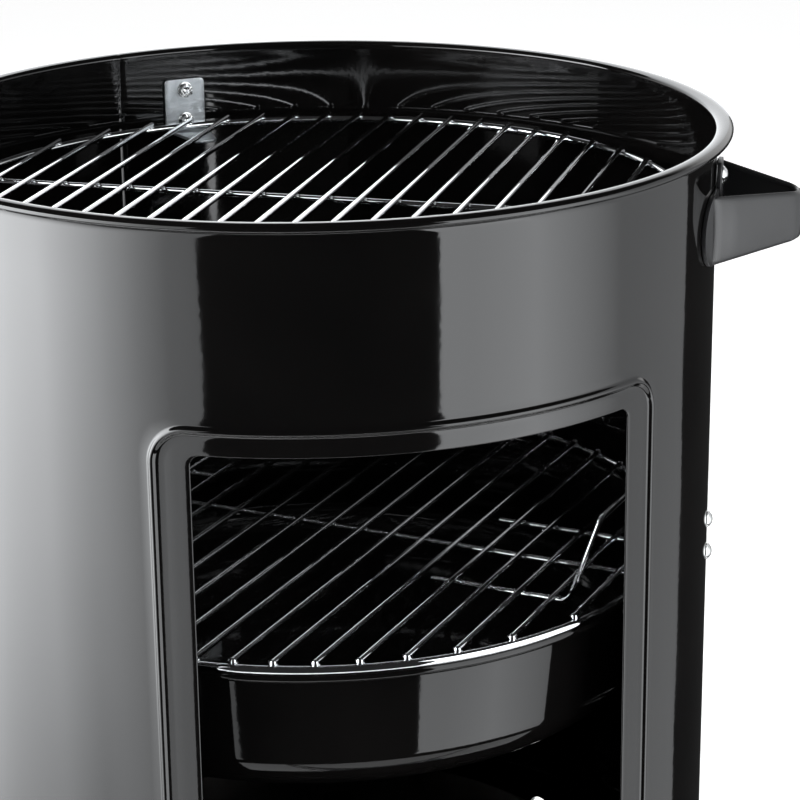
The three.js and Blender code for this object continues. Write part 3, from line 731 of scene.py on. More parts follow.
def bolt_parts(grip):
    """A domed head, and on the inside a washer, a hex nut and the thread's end."""
    head = BOLT_HEAD_R
    dome = fillet([(0, 3.3), (2.4, 3.0), (head - 0.6, 1.3), (head, 0.4), (head, 0), (0, 0)],
                  [0, 3, 1, 0.4, 0, 0], 4)
    washer = fillet([(2.6, -grip), (5.2, -grip), (5.2, -grip - 0.9), (2.6, -grip - 0.9)], 0.25, 2, True)
    low, high = -grip - 4.6, -grip - 0.9
    nut, steps = [], 48
    rings = [(BOLT_SHANK_R, high), (NUT_TURNED_R, high), (None, high - 0.35), (None, low + 0.35),
             (NUT_TURNED_R, low), (BOLT_SHANK_R, low)]
    for radius, z in rings:
        for j in range(steps):
            angle = 2 * math.pi * j / steps
            reach = radius or NUT_HALF / math.cos(angle % (math.pi / 3) - math.pi / 6)
            nut.append((reach * math.sin(angle), -reach * math.cos(angle), z))
    thread = [(0, low + 0.5), (BOLT_SHANK_R, low + 0.5)]
    z = low
    while z > low - 2.2:
        thread += [(BOLT_SHANK_R, z), (BOLT_SHANK_R - 0.35, z - 0.28)]
        z -= 0.55
    thread += [(1.7, z - 0.1), (0, z - 0.1)]
    nut_part = (nut, grid_faces(len(rings), steps, True, True))
    return [lathe(dome, 32), lathe(washer, 32), nut_part, lathe(thread, 24, False)]


def bolt(node, azimuth, outside, inside, z):
    """A bolt through the wall at a height, from a radius outside to a radius inside."""
    turn = spin(random.Random(node).uniform(0, 60))
    parts = [moved(part, turn, FACING_OUT, shift(0, -outside, z)) for part in bolt_parts(outside - inside)]
    piece(f"{node}_shape", parts, PLATED, node, azimuth=azimuth, smooth=32)


# ---- grate brackets ---------------------------------------------------------------------------------------

PLATE_R = BARREL_R - SHEET - 0.9                 # the flat back of a bracket inside the round wall
PLATE_T = 2.0
BRACKET_HALF = 13.5
BRACKET_CORNER = 3
TAB_DROP = 32                                    # from the bracket's top to its tab
TAB_REACH = {"upper": 42, "lower": 24}
TAB_TAPER = 6.5                                  # how much narrower each side of the tab is at its tip


def bracket(level, side, azimuth):
    """Galvanised strip: an upright plate, a bend, and a tapering tab that reaches in under the grate."""
    node = f"{level}_bracket_{side}"
    top, reach, bend = span(node)[1].z, TAB_REACH[level], 4.0
    tab_z = top - TAB_DROP
    path = [(0, top)] + [(0, top - d) for d in (0.5, 1.2, 2.2, 3.4, 8, 14, 20, 24)]
    path += arc((bend, tab_z + bend), (-bend, -bend), 0, 90, 6)
    path += [(d, tab_z) for d in (10, 16, reach - 6, reach - 3, reach - 1.2, reach)]

    def narrowing(from_end):
        """How much a round corner takes off each side, at a distance from the strip's end."""
        deep = max(0, BRACKET_CORNER - from_end)
        return BRACKET_CORNER - math.sqrt(max(0, BRACKET_CORNER ** 2 - deep ** 2))

    verts, across = [], 8
    for out, z in path:
        half = BRACKET_HALF - max(0, out - bend) * TAB_TAPER / (reach - bend)
        half -= narrowing(top - z) + narrowing(reach - out)
        for j in range(across + 1):
            verts.append((half * (2 * j / across - 1), -PLATE_R + PLATE_T + out, z))
    part = (verts, grid_faces(len(path), across + 1))
    obj = piece(f"{node}_shape", [part], ZINC, node, azimuth=azimuth, smooth=60)
    thicken(obj, PLATE_T, Vector((0, -1, 0)), azimuth)


# ---- carrying handles -------------------------------------------------------------------------------------

HANDLE_REACH = 48.0
HANDLE_HALF = 52.0
HANDLE_TOP = RIM_Z - 26.5
HANDLE_BOTTOM = RIM_Z - 66.5
HANDLE_EAR = 19.0                                # the strap's round ends beyond the arms
HANDLE_T = 2.4
HANDLE_TIP_R = 18.0
HANDLE_WALL_R = BARREL_R + 0.4
STRAP_T = 2.2


def handle_plan(foot):
    """The band seen from above, as closely spaced (x, y) points. It reaches out along +Y from its feet."""
    tip = HANDLE_WALL_R + HANDLE_REACH - HANDLE_TIP_R
    slope = math.atan2(tip - foot - 3, HANDLE_HALF - HANDLE_TIP_R)
    plan = [(HANDLE_HALF + 1.5, foot), (HANDLE_HALF, foot + 3)]
    for k in range(17):
        turn = math.pi / 2 - slope + 2 * slope * k / 16
        plan.append((HANDLE_TIP_R * math.cos(turn), tip + HANDLE_TIP_R * math.sin(turn)))
    plan += [(-x, y) for x, y in (plan[1], plan[0])]
    dense = []
    for (x0, y0), (x1, y1) in zip(plan, plan[1:]):
        steps = max(1, round(math.hypot(x1 - x0, y1 - y0) / 3))
        dense += [(x0 + (x1 - x0) * k / steps, y0 + (y1 - y0) * k / steps) for k in range(steps)]
    return dense + [plan[-1]]


def handle_band(side, azimuth):
    """A broad band bent to a blunt point, lower at its tip and bulging a little between its edges."""
    foot = math.sqrt(HANDLE_WALL_R ** 2 - HANDLE_HALF ** 2) + 1.5
    plan = handle_plan(foot)
    verts, rows = [], 20
    for i, (x, y) in enumerate(plan):
        before, after = plan[max(i - 1, 0)], plan[min(i + 1, len(plan) - 1)]
        along = Vector((after[0] - before[0], after[1] - before[1])).normalized()
        normal = Vector((along.y, -along.x))
        out = max(0, y - foot) / HANDLE_REACH
        top, bottom = HANDLE_TOP - 7 * out, HANDLE_BOTTOM + 3.6 * out
        for j in range(rows + 1):
            v = j / rows
            edge = max(0, abs(2 * v - 1) - 0.84) / 0.16
            bulge = 2.0 * (1 - (2 * v - 1) ** 2) * min(1, 4 * out) - 1.8 * edge ** 2
            verts.append((x + normal.x * bulge, -y - normal.y * bulge, bottom + (top - bottom) * v))
    band = (verts, grid_faces(len(plan), rows + 1))
    obj = piece(f"handle_{side}_band", [band], POWDER, f"handle_{side}", azimuth=azimuth)
    thicken(obj, HANDLE_T, Vector((-1, 0, 0)), azimuth)


def handle_strap(side, azimuth):
    """The strap that follows the wall between the band's feet, with its round ends."""
    fold = HANDLE_WALL_R * math.asin(HANDLE_HALF / HANDLE_WALL_R)
    middle, half_height = (HANDLE_TOP + HANDLE_BOTTOM) / 2, (HANDLE_TOP - HANDLE_BOTTOM) / 2
    verts, columns, across = [], 60, 8
    for i in range(columns + 1):
        along = (fold + HANDLE_EAR) * math.sin(math.pi * (i / columns - 0.5))
        past = max(0, abs(along) - fold + 2) / (HANDLE_EAR + 2)
        half = max(0.4, half_height * math.sqrt(max(0, 1 - past ** 2)))
        for j in range(across + 1):
            verts.append(wrapped(along, middle + half * (2 * j / across - 1), HANDLE_WALL_R + STRAP_T))
    strap = (verts, grid_faces(columns + 1, across + 1))
    obj = piece(f"handle_{side}_strap", [strap], POWDER, f"handle_{side}", azimuth=azimuth)
    thicken(obj, STRAP_T, Vector((0, 1, 0)), azimuth)


def handle(side, azimuth):
    """A band on a strap, and the tab above the strap that its bolts go through."""
    handle_band(side, azimuth)
    handle_strap(side, azimuth)
    tab = slab(rectangle(26, 44, 6, (0, HANDLE_TOP - 8.5)), -BARREL_R - HANDLE_PLATE, -BARREL_R - 0.7)
    parts = [moved(tab, spin(HANDLE_BOLT_TURN))]
    piece(f"handle_{side}_tab", parts, POWDER, f"handle_{side}", azimuth=azimuth, bevel=0.5)


# ---- grates -----------------------------------------------------------------------------------------------

WIRE_WELD = (2.1, 2.1, 0.9)                      # half sizes of the weld between a bar and a wire under it
LOOP_HALF = 50                                   # half a lifting loop's width
LOOP_START, LOOP_END = 99, 182                   # where its wire begins under the bars, and turns up
LOOP_RISE, LOOP_LEAN, LOOP_BEND = 52, 18, 6


def grate(node, material, ring_z, radius, turn, pitch, supports, overhang=1.0):
    """A ring, parallel bars welded onto it, and support wires welded under the bars.

    Bars that end short of the ring's middle, with an overhang below zero, are welded at their ends too.
    """
    bar_z = ring_z + RING_WIRE + BAR_WIRE - 0.8
    support_z = bar_z - 2 * BAR_WIRE + 0.6
    parts = [tube([(x, y, ring_z) for x, y in circle(radius, 144)], RING_WIRE, 14, True)]
    count = 2 * math.floor((radius - 4) / pitch + 0.5)
    bars = [(i - (count - 1) / 2) * pitch for i in range(count)]

    def reach(offset):
        return math.sqrt((radius + overhang) ** 2 - offset ** 2)

    for x in bars:
        parts.append(tube([(x, -reach(x), bar_z), (x, 0, bar_z), (x, reach(x), bar_z)], BAR_WIRE))
        for side in (-1, 1):
            parts.append(blob((x, side * (reach(x) - 1.6), bar_z - 1.7), (2.5, 2.6, 1.3)))
            if overhang < 0:
                parts.append(blob((x, side * (reach(x) + 0.4), bar_z - 0.3), (2.5, 1.9, 2.4)))
    for y in supports:
        parts.append(tube([(-reach(y) + 2, y, support_z), (reach(y) - 2, y, support_z)], BAR_WIRE))
        parts += [blob((x, y, support_z + 1.5), WIRE_WELD) for x in bars if abs(x) < reach(y) - 4]
    piece(f"{node}_wires", [moved(part, spin(-turn)) for part in parts], material, node, smooth=60)


def bend_points(corner, back, onward, steps=5):
    """Points of a round bend at a corner, between the way back and the way onward."""
    points = []
    for k in range(1, steps + 1):
        share = k / (steps + 1)
        points.append(corner + back * LOOP_BEND * (1 - share) ** 2 + onward * LOOP_BEND * share ** 2)
    return points + [corner + onward * LOOP_BEND]


def lifting_loop(side, sign):
    """A wire close under the bars that turns up at both ends into an upright loop, leaning outwards."""
    z = LOWER_GRATE["ring_z"] + RING_WIRE - BAR_WIRE - 1.1
    inwards, up = Vector((-sign, 0, 0)), Vector((sign * LOOP_LEAN, 0, LOOP_RISE)).normalized()
    halves = []
    for y in (-LOOP_HALF, LOOP_HALF):
        foot = Vector((sign * LOOP_END, y, z))
        top = Vector((sign * (LOOP_END + LOOP_LEAN), y, z + LOOP_RISE))
        run = [Vector((sign * LOOP_START, y, z)), foot + inwards * LOOP_BEND]
        run += bend_points(foot, inwards, up)
        run += bend_points(top, -up, Vector((0, -1 if y > 0 else 1, 0)))
        halves.append(run)
    wire = tube(halves[0] + halves[1][::-1], BAR_WIRE)
    bars = [(i + 0.5) * GRATE_PITCH * sign for i in range(10)]
    crossed = [x for x in bars if LOOP_START < abs(x) < LOOP_END]
    welds = [blob((x, y, z + 1.8), WIRE_WELD) for y in (-LOOP_HALF, LOOP_HALF) for x in crossed]
    parts = [moved(part, spin(-LOWER_GRATE["turn"])) for part in [wire] + welds]
    piece(f"lifting_loop_{side}_wire", parts, CHROME, f"lifting_loop_{side}", smooth=60)


# ---- water bowl, charcoal bowl, fuel ring, heat shield ----------------------------------------------------

def water_bowl():
    low, high = span("water_bowl")
    top, floor, rim_r = high.z - 3, low.z, 209.0
    outer = fillet([(0, floor), (199.5, floor), (204.8, top - 3.6)], [0, 26, 0], 20)
    inner = fillet([(203.2, top - 3.2), (198, floor + SHEET), (0, floor + SHEET)], [0, 24.4, 0], 20)
    roll = arc((rim_r, top), (3, 3), -125, 290, 14)
    piece("water_bowl_shape", [lathe(outer + roll + inner, 192, False)], ENAMEL, "water_bowl", smooth=60)


def vent_holes():
    """Three round rods about a pivot, drawn along Z, which cut the holes of a vent."""
    parts = []
    for k in range(3):
        angle = math.radians(120 * k)
        outline = circle(8.0, 40, (17.0 * math.sin(angle), 17.0 * math.cos(angle)))
        parts.append(moved(slab(outline, -14.0, 14.0), spin(90, "X")))
    return parts


def charcoal_bowl():
    low, high = span("charcoal_bowl")
    bottom, top = low.z, high.z
    ledge = WALL_BOTTOM - 0.3
    inner, collar = BOWL_WALL_R - SHEET, BARREL_R + 1.2
    outer_line = fillet(
        [(0, bottom), (130, bottom), (190, bottom + 22), (221, bottom + 60), (BOWL_WALL_R, bottom + 92),
         (BOWL_WALL_R, ledge - 5), (collar + SHEET, ledge - 1), (collar + SHEET, top - 5)],
        [0, 90, 110, 70, 60, 2, 3, 0], 8)
    roll = arc((collar + 3.0, top - 2.5), (2.5, 2.5), -90, 230, 12)
    inner_line = fillet(
        [(collar, top - 3.4), (collar, ledge), (inner, ledge), (inner, bottom + 92.4), (219.5, bottom + 60.8),
         (189, bottom + 23.4), (129.6, bottom + SHEET), (0, bottom + SHEET)],
        [0, 0.4, 1.0, 58, 68, 108, 88, 0], 8)
    holes = []
    for azimuth in DAMPERS.values():
        place = (FACING_OUT, shift(0, -BOWL_WALL_R, DAMPER_Z), spin(azimuth))
        holes += [moved(part, *place) for part in vent_holes()]
    shape = [lathe(outer_line + roll + inner_line, 240, False)]
    piece("charcoal_bowl_shape", shape, ENAMEL, "charcoal_bowl", holes=holes, smooth=50)


def damper(node, place, azimuth=0):
    """A vent's disc with three holes, a pressed rim, its rivet and a lug to turn it by. Drawn facing +Z."""
    face = fillet([(0, 1.6), (27.5, 1.6), (30, 0.9), (30, 0), (0, 0)], [0, 2, 0.5, 0.3, 0], 3)
    rivet = fillet([(0, 3.6), (3.4, 3.2), (4.4, 1.6), (0, 1.6)], [0, 2, 0.3, 0], 4)
    lug = moved(slab(rectangle(14, 15, 4, (0, 8.0)), -1, 1), shift(0, -24, 0))
    holes = [moved(part, *place) for part in vent_holes()]
    disc = [moved(lathe(face, 96), *place)]
    piece(f"{node}_disc", disc, ALUMINIUM, node, azimuth=azimuth, holes=holes, smooth=35)
    piece(f"{node}_rivet", [moved(lathe(rivet, 32), *place)], PLATED, node, azimuth=azimuth)
    piece(f"{node}_lug", [moved(lug, *place)], ALUMINIUM, node, azimuth=azimuth, bevel=0.4)


def fuel_ring():
    low, high = span("fuel_ring")
    radius, slots = 170.0, 10
    outline = fillet([(radius - SHEET, low.z), (radius, low.z), (radius, high.z), (radius - SHEET, high.z)],
                     0.5, 3, True)
    holes = []
    for row in (30, 82):
        slot = slab(rectangle(22, 14, 6.5, (0, low.z + row)), -radius - 8, -radius + 8)
        holes += [moved(slot, spin(360 * (k + 0.5) / slots)) for k in range(slots)]
    piece("fuel_ring_shape", [lathe(outline, 200)], STEEL, "fuel_ring", holes=holes, smooth=35)


def heat_shield():
    low, high = span("heat_shield")
    dish = low.z
    outer = fillet([(0, dish), (150, dish), (205, dish + 8), (236, dish + 8), (238, high.z)],
                   [0, 60, 40, 4, 0], 8)
    inner = fillet([(236.6, high.z), (234.6, dish + 9.6), (204.6, dish + 9.6), (149.6, dish + SHEET),
                    (0, dish + SHEET)], [0, 3, 40, 60, 0], 8)
    piece("heat_shield_shape", [lathe(outer + inner, 192, False)], ALUMINIUM, "heat_shield", smooth=50)


# ---- door -------------------------------------------------------------------------------------------------
# The door and its fittings are drawn closed, and then swung open about the hinge.

SWING = (shift(0, -HINGE_Y, -HINGE_Z), spin(DOOR_OPEN, "X"), shift(0, HINGE_Y, HINGE_Z))
DOOR_IN = BARREL_R + 0.9
DOOR_OUT = DOOR_IN + SHEET
DOOR_LAP = 10.0


def door_panel():
    """A curved sheet with a raised middle and a round edge."""
    top, bottom, middle_skin = OPENING_TOP + DOOR_LAP, OPENING_BOTTOM - DOOR_LAP, DOOR_IN + 0.5 * SHEET

    def ring(inset):
        corner = 16 - min(inset, 8) * 0.5
        return frame_loop(DOOR_HALF - inset, top - inset, bottom + inset, corner)

    def raised(inset):
        share = min(1, max(0, (inset - 9) / 5))
        return 0.5 * SHEET + 1.1 * share ** 2 * (3 - 2 * share)

    edge = []
    for k in range(9):
        turn = math.pi * k / 8
        edge.append((0.5 * SHEET * (1 - math.sin(turn)), -0.5 * SHEET * math.cos(turn)))
    outside = [(inset, raised(inset)) for inset in (3, 6, 9, 10, 11, 12, 13, 14, 18, 26)]
    inside = [(inset, rise - SHEET) for inset, rise in outside]
    rings = inside[::-1] + edge + outside
    verts = [wrapped(along, z, middle_skin + rise) for inset, rise in rings for along, z in ring(inset)]
    samples = len(ring(0))
    parts = [(verts, grid_faces(len(rings), samples, False, True))]

    middle, steps = (top + bottom) / 2, 18
    spine = (top - bottom) / 2 - DOOR_HALF       # half the line that the middle of the sheet closes onto
    for inset, rise in (inside[-1], outside[-1]):
        sheet = []
        for k in range(steps + 1):
            share = k / steps
            for along, z in ring(inset):
                spine_z = middle + max(-spine, min(spine, z - middle))
                sheet.append(wrapped(along * (1 - share), z + (spine_z - z) * share, middle_skin + rise))
        parts.append((sheet, grid_faces(steps + 1, samples, False, True)))
    piece("door_sheet", [moved(part, *SWING) for part in parts], BARREL_ENAMEL, "door_panel", smooth=50)


def hinge_leaf():
    plate = slab(rectangle(68, 34, 3, (0, HINGE_Z + 19)), -DOOR_OUT - 2.3, -DOOR_OUT - 0.3)
    curl = tube([(-34, HINGE_Y, HINGE_Z), (34, HINGE_Y, HINGE_Z)], 4.2, 28, round_ends=False)
    rod = tube([(-62, HINGE_Y, HINGE_Z), (62, HINGE_Y, HINGE_Z)], 2.5, 24)
    head = lathe(fillet([(0, 2.2), (3.2, 1.8), (4.2, 0.2), (4.2, 0), (0, 0)], [0, 2, 0.5, 0, 0], 4), 28)
    rivets = [moved(head, FACING_OUT, shift(x, -DOOR_OUT - 2.3, HINGE_Z + 24), *SWING) for x in (-22, 22)]
    piece("door_hinge_leaf_plate", [moved(plate, *SWING)], ZINC, "door_hinge_leaf", bevel=0.5)
    piece("door_hinge_rod", [moved(curl, *SWING), moved(rod, *SWING)], ZINC, "door_hinge_leaf")
    piece("door_hinge_rivets", rivets, PLATED, "door_hinge_leaf")


def latch():
    """A ribbed knob on a stem through the door, and the blade that the stem turns inside."""
    outline = fillet([(0, 26), (11, 25.5), (17, 22), (18.5, 15), (17, 9), (10, 6), (10, 0), (0, 0)],
                     [0, 4, 4, 5, 4, 3, 0.5, 0], 5)
    rib = tube([(18.9, 0, 10), (18.9, 0, 21)], 1.5, 10)
    ribs = [moved(rib, spin(30 * k)) for k in range(12)]
    place = (FACING_OUT, shift(0, -DOOR_OUT - 0.6, LATCH_Z), *SWING)
    parts = [moved(part, *place) for part in [lathe(outline, 64, False)] + ribs]
    stem = tube([(0, -DOOR_OUT, LATCH_Z), (0, SHEET + 2.7 - BARREL_R, LATCH_Z)], 3.8, 20, round_ends=False)
    piece("door_latch_knob_shape", parts + [moved(stem, *SWING)], NYLON, "door_latch_knob")
    bevelled("door_latch_blade", ZINC, 0.4)


# ---- lid --------------------------------------------------------------------------------------------------
# The lid is drawn with its dome up, and then hung upright behind the barrel.

STAND_LID = (spin(-90, "X"), shift(0, LID_OPEN_Y, LID_Z))
LID_VENT = (0.0, 120.0)
LID_DIAL = (96.0, -96.0)
DOME_R = LID_R - 2
DOME_RISE = LID_DEPTH - LID_SKIRT


def dome_height(radius):
    return LID_SKIRT + DOME_RISE * math.sqrt(max(0, 1 - (radius / DOME_R) ** 2))


def on_dome(x, y, lift=0.0):
    """Moves a part drawn about +Z, with the dome's surface at z = 0, onto the dome of the stored lid."""
    radius = math.hypot(x, y)
    slope = math.degrees(math.atan2(dome_height(radius - 12) - dome_height(radius + 12), 24))
    return (shift(0, 0, lift), spin(slope, "Y"), shift(radius, 0, dome_height(radius)),
            spin(math.degrees(math.atan2(y, x))), *STAND_LID)


def lid_shell():
    outer, inner, steps = [], [], 44
    for k in range(steps + 1):
        turn = 0.5 * math.pi * k / steps
        outer.append((DOME_R * math.sin(turn), LID_SKIRT + DOME_RISE * math.cos(turn)))
        inner.append(((DOME_R - SHEET) * math.sin(turn), LID_SKIRT + (DOME_RISE - SHEET) * math.cos(turn)))
    roll = fillet([(DOME_R, LID_SKIRT - 1), (DOME_R, 4), (LID_R, 2.5), (LID_R, 0), (DOME_R - SHEET, 0),
                   (DOME_R - SHEET, LID_SKIRT - 1)], [0, 2, 1, 1, 0.5, 0], 4)
    shape = lathe(outer + roll + inner[::-1], 200, False)
    holes = [moved(part, spin(-90), *on_dome(*LID_VENT)) for part in vent_holes()]
    piece("lid_dome", [moved(shape, *STAND_LID)], ENAMEL, "lid_shell", holes=holes, smooth=50)


def lid_handle():
    """A barrel-shaped grip between two posts, each with a flared base and a bolt's end inside the lid."""
    post = 58.0
    foot = dome_height(post) + 0.9
    axle = foot + 34
    grip = fillet([(0, -70), (8.5, -70), (10, -60), (11.2, 0), (10, 60), (8.5, 70), (0, 70)],
                  [0, 3, 20, 60, 20, 3, 0], 8)
    base = fillet([(0, foot), (9, foot), (9, foot + 2.5), (4.5, foot + 7), (0, foot + 7)],
                  [0, 0.5, 2, 2, 0], 4)
    bolt_end = fillet([(0, foot - 7), (3.2, foot - 7), (3.2, foot - 3.4), (5.4, foot - 3.2),
                       (5.4, foot - 2.7), (0, foot - 2.7)], [0, 0.5, 0, 0.4, 0, 0], 3)
    grip_part = moved(lathe(grip, 48, False), spin(90, "Y"), shift(0, 0, axle), *STAND_LID)
    piece("lid_grip", [grip_part], NYLON, "lid_handle", smooth=30)
    metal = []
    for x in (-post, post):
        metal.append(tube([(x, 0, foot), (x, 0, axle - 7)], 3.2, 20, round_ends=False))
        metal.append(moved(lathe(base, 36, False), shift(x, 0, 0)))
        metal.append(moved(lathe(bolt_end, 30, False), shift(x, 0, 0)))
    piece("lid_grip_posts", [moved(part, *STAND_LID) for part in metal], PLATED, "lid_handle")


def lid_thermometer():
    """A dial in a plated case, with ticks and a needle, and its stem inside the lid."""
    node, place = "lid_thermometer", on_dome(*LID_DIAL)
    glass_r, face_z = 24.6, 13.2
    case = fillet([(glass_r, face_z), (glass_r, 15.8), (27, 14.8), (27, 5.4), (5, 4.6), (5, -5.6), (1.8, -6),
                   (1.8, -30), (0, -30)], [0, 1, 2, 1.5, 1, 0.5, 0.5, 0.5, 0], 4)
    piece("dial_case", [moved(lathe(case, 72, False), *place)], PLATED, node, smooth=35)
    disc = lathe([(0, face_z), (glass_r, face_z)], 72, False)
    piece("dial_plate", [moved(disc, *place)], DIAL, node)
    ticks, count = [], 25
    for k in range(count):
        width, height, middle = (0.9, 4.2, 20.6) if k % 4 == 0 else (0.5, 2.6, 21.2)
        tick = slab(rectangle(width, height, 0.1, (0, middle)), -13.5, -13.1)
        ticks.append(moved(tick, spin(-90, "X"), spin(-135 + 270 * k / (count - 1)), *place))
    piece("dial_ticks", ticks, INK, node)
    needle = slab([(-1.0, -5), (1.0, -5), (0.9, 2), (0.15, 18.5), (-0.15, 18.5), (-0.9, 2)], -14.4, -13.9)
    hub = lathe([(0, 14.9), (2.0, 14.7), (2.3, 13.2), (0, 13.2)], 24, False)
    parts = [moved(needle, spin(-90, "X"), spin(118), *place), moved(hub, *place)]
    piece("dial_needle", parts, RED_INK, node)


# ---- the object -------------------------------------------------------------------------------------------

def brackets():
    """Three brackets at each of two levels, two bolts each. The upper right one's bolts hold a handle too."""
    for side, azimuth in BRACKETS.items():
        for level, drop in (("upper", 0), ("lower", LEVEL_DROP)):
            bracket(level, side, azimuth)
            with_handle = side == "right" and level == "upper"
            outside = BARREL_R + HANDLE_PLATE if with_handle else BARREL_R
            for i, row in enumerate(BOLT_ROWS):
                bolt(f"{level}_bolt_{side}_{i + 1}", azimuth, outside, PLATE_R - PLATE_T, RIM_Z + row - drop)


def handles():
    for side, azimuth in HANDLES.items():
        handle(side, azimuth)
    azimuth = HANDLES["left"] + HANDLE_BOLT_TURN
    for i, row in enumerate(BOLT_ROWS):
        bolt(f"handle_bolt_left_{i + 1}", azimuth, BARREL_R + HANDLE_PLATE, BARREL_R - SHEET, RIM_Z + row)


def legs():
    outside, inside = BOWL_WALL_R + 3.2, BOWL_WALL_R - SHEET
    for side, azimuth in LEGS.items():
        bevelled(f"leg_{side}", ALUMINIUM, 0.7)
        bevelled(f"foot_{side}", NYLON, 1.6)
        for i, z in enumerate(LEG_BOLTS_Z):
            bolt(f"leg_bolt_{side}_{i + 1}", azimuth, outside, inside, z)


def build_object():
    barrel_wall()
    brackets()
    handles()
    grate("upper_grate", CHROME, **UPPER_GRATE)
    grate("lower_grate", CHROME, overhang=-2.0, **LOWER_GRATE)
    lifting_loop("right", 1)
    lifting_loop("left", -1)
    grate("charcoal_grate", STEEL, **CHARCOAL_GRATE)
    water_bowl()
    door_panel()
    hinge_leaf()
    latch()
    charcoal_bowl()
    for side, azimuth in DAMPERS.items():
        damper(f"bowl_damper_{side}", (FACING_OUT, shift(0, -BOWL_WALL_R - 0.5, DAMPER_Z)), azimuth)
    fuel_ring()
    heat_shield()
    legs()
    lid_shell()
    lid_handle()
    damper("lid_damper", (spin(-90), *on_dome(*LID_VENT, 3.8)))
    lid_thermometer()
    for node in ("door_hinge_bracket_left", "door_hinge_bracket_right", "lid_hook", "lid_hanger"):
        bevelled(node, ZINC, 0.5)


# ---- camera, lights and floor -----------------------------------------------------------------------------
# From here on, lengths are in metres.

VIEW_AZIMUTH = -14.7                             # where the camera stands
CAMERA_REACH, CAMERA_RISE = 1.4738, 0.3286       # from the barrel's axis, and above its rim
HEADING, PITCH, ROLL = 16.66, -18.577, -0.643
LENS = 117.49
FLOOR_MIRRORED = 0.62                            # the radius within which the floor shows in reflections


def camera():
    data = bpy.data.cameras.new("camera")
    data.lens, data.sensor_width, data.clip_start, data.clip_end = LENS, 36, 0.05, 60
    obj = add_object("camera", data)
    angle = math.radians(VIEW_AZIMUTH)
    x, y = CAMERA_REACH * math.sin(angle), AXIS_Y - CAMERA_REACH * math.cos(angle)
    place = shift(x, y, RIM_Z * MM + CAMERA_RISE)
    obj.matrix_world = place @ spin(-HEADING) @ spin(90 + PITCH, "X") @ spin(ROLL)
    bpy.context.scene.camera = obj


def emitter(name):
    """A plain glowing material, with its node tree and its Emission node."""
    material = bpy.data.materials.new(name)
    tree = Nodes(material)
    tree.tree.nodes.clear()
    glow = tree.node("ShaderNodeEmission")
    tree.link(glow.outputs[0], tree.node("ShaderNodeOutputMaterial").inputs["Surface"])
    return material, tree, glow


def glow_panel(name, start, end, low, high, radius, glow, tilt=0.0):
    """An upright curved softbox round the object. glow(share, z) is its brightness along its width and at a
    height."""
    columns, rows = 60, 12
    verts, values = [], []
    for i in range(columns + 1):
        for j in range(rows + 1):
            share, rise = i / columns, j / rows
            angle = math.radians(VIEW_AZIMUTH + start + (end - start) * share + tilt * rise)
            z = low + (high - low) * rise
            verts.append((radius * math.sin(angle), AXIS_Y - radius * math.cos(angle), z))
            values.append(glow(share, z))
    mesh = bpy.data.meshes.new(name)
    mesh.from_pydata(verts, [], grid_faces(columns + 1, rows + 1))
    layer = mesh.attributes.new("glow", "FLOAT", "POINT")
    layer.data.foreach_set("value", values)
    material, tree, emission = emitter(name)
    emission.inputs["Color"].default_value = (0.96, 0.98, 1.0, 1)
    strength = tree.node("ShaderNodeAttribute", attribute_name="glow")
    tree.link(strength.outputs["Fac"], emission.inputs["Strength"])
    mesh.materials.append(material)
    obj = add_object(name, mesh)
    obj.visible_camera = False
    obj.visible_shadow = False


def ramp_between(*stops):
    """A function of a share from 0 to 1 that runs through (share, value) stops."""
    def value(share):
        for (a, va), (b, vb) in zip(stops, stops[1:]):
            if share <= b:
                return va + (vb - va) * (share - a) / (b - a)
        return stops[-1][1]
    return value


def softbox(name, place, size, brightness, aim):
    """A square area light, aimed at a point, with the brightness of its face."""
    data = bpy.data.lights.new(name, "AREA")
    data.shape, data.size = "SQUARE", size
    data.energy = brightness * math.pi * size * size
    obj = add_object(name, data)
    obj.location = place
    obj.rotation_euler = (Vector(aim) - Vector(place)).to_track_quat("-Z", "Y").to_euler()
    obj.visible_camera = False
    obj.visible_glossy = False


def staged(name, part, material):
    """A surface of the studio, from a part drawn in metres."""
    mesh = welded_mesh(name, part)
    obj = add_object(name, mesh)
    mesh.materials.append(material)
    obj.visible_glossy = False
    return obj


def world_light():
    """Bright behind the object near the horizon, for the enamel and the wires to mirror; dark elsewhere."""
    world = bpy.data.worlds.new("studio")
    bpy.context.scene.world = world
    tree = Nodes(world)
    tree.tree.nodes.clear()
    coords = tree.node("ShaderNodeTexCoord")

    def fade(direction, start, end, low, high):
        """Runs from low to high as the light's direction turns towards another one."""
        along = tree.node("ShaderNodeVectorMath", operation="DOT_PRODUCT")
        along.inputs[1].default_value = direction
        tree.link(coords.outputs["Generated"], along.inputs[0])
        return tree.spread(along.outputs["Value"], low, high, start, end, "SMOOTHSTEP")

    angle = math.radians(VIEW_AZIMUTH)
    behind = fade((-math.sin(angle), math.cos(angle), 0), 0.25, 0.65, 0, 1)
    not_high = fade((0, 0, 1), 0.38, 0.56, 1, 0)
    not_low = fade((0, 0, 1), -0.02, 0.16, 0, 1)
    glow = 1.5
    for factor in (behind, not_high, not_low):
        glow = tree.combine("MULTIPLY", factor, glow)
    background = tree.node("ShaderNodeBackground")
    tree.link(tree.combine("ADD", glow, 0.03), background.inputs["Strength"])
    tree.link(background.outputs[0], tree.node("ShaderNodeOutputWorld").inputs["Surface"])


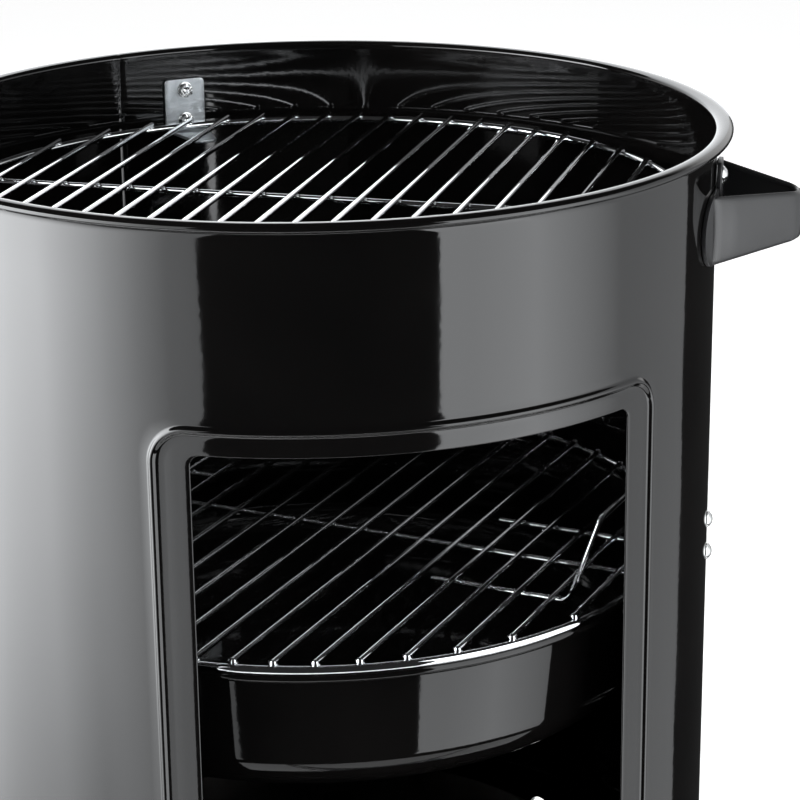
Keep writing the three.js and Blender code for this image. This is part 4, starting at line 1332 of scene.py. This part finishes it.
def floor_material():
    """A matt pale floor that glows faintly near the object and brightly further off."""
    material = bpy.data.materials.new("floor")
    tree = Nodes(material)
    shader = tree.tree.nodes["Principled BSDF"]
    shader.inputs["Base Color"].default_value = (0.8, 0.8, 0.8, 1)
    shader.inputs["Roughness"].default_value = 0.9
    shader.inputs["Specular IOR Level"].default_value = 0.1
    shader.inputs["Emission Color"].default_value = (1, 1, 1, 1)
    reach = tree.node("ShaderNodeVectorMath", operation="LENGTH")
    tree.link(tree.node("ShaderNodeTexCoord").outputs["Object"], reach.inputs[0])
    glow = tree.spread(reach.outputs["Value"], 0.3, 0.83, 0.7, 2.4, "SMOOTHSTEP")
    tree.link(glow, shader.inputs["Emission Strength"])
    return material


def backdrop():
    """A pale floor, mirrored only close to the object, and a white wall far off that only the camera sees."""
    material = floor_material()
    centre = shift(0, AXIS_Y, 0)
    near = staged("floor_near", moved(lathe([(0, 0), (FLOOR_MIRRORED, 0)], 96, False), centre), material)
    near.visible_glossy = True
    staged("floor_far", moved(lathe([(FLOOR_MIRRORED, 0), (14, 0)], 96, False), centre), material)
    white, _, _ = emitter("backdrop")
    wall = staged("backdrop", lathe([(13.8, -0.1), (13.8, 14)], 64, False), white)
    wall.visible_diffuse = False
    wall.visible_shadow = False


def panels():
    """Softboxes at the left, at the right and behind, outside the camera's view."""
    left = ramp_between((0, 1.9), (0.1, 2.2), (0.2, 3.6), (0.36, 6.6), (0.57, 10.0), (0.8, 9.5), (1, 9.5))
    right = ramp_between((0, 4.2), (0.1, 4.1), (0.3, 4.5), (0.62, 1.3), (1, 0.6))
    rear = ramp_between((0, 1.5), (0.5, 3.0), (1, 1.5))

    def left_glow(share, z):
        """The left panel is dimmer low down, except at its front edge."""
        by_height = min(1.1, max(0.2, 0.56 + 1.2 * z))
        return left(share) * (1 + (by_height - 1) * min(1, share / 0.4))

    glow_panel("panel_left", -27, -106, -0.5, 1.7, 1.35, left_glow, -2.5)
    glow_panel("panel_right", 31, 119, -0.5, 1.7, 1.35, lambda share, z: right(share), 1.0)
    glow_panel("panel_rear", -150, -205, 0.3, 1.9, 1.6, lambda share, z: rear(share))


def studio():
    camera()
    bpy.context.scene.view_settings.view_transform = "Standard"
    world_light()
    backdrop()
    panels()
    softbox("softbox_top", (0.1, AXIS_Y + 0.1, 2.5), 1.5, 2.6, (0, AXIS_Y, 0.6))


studio()
build_object()
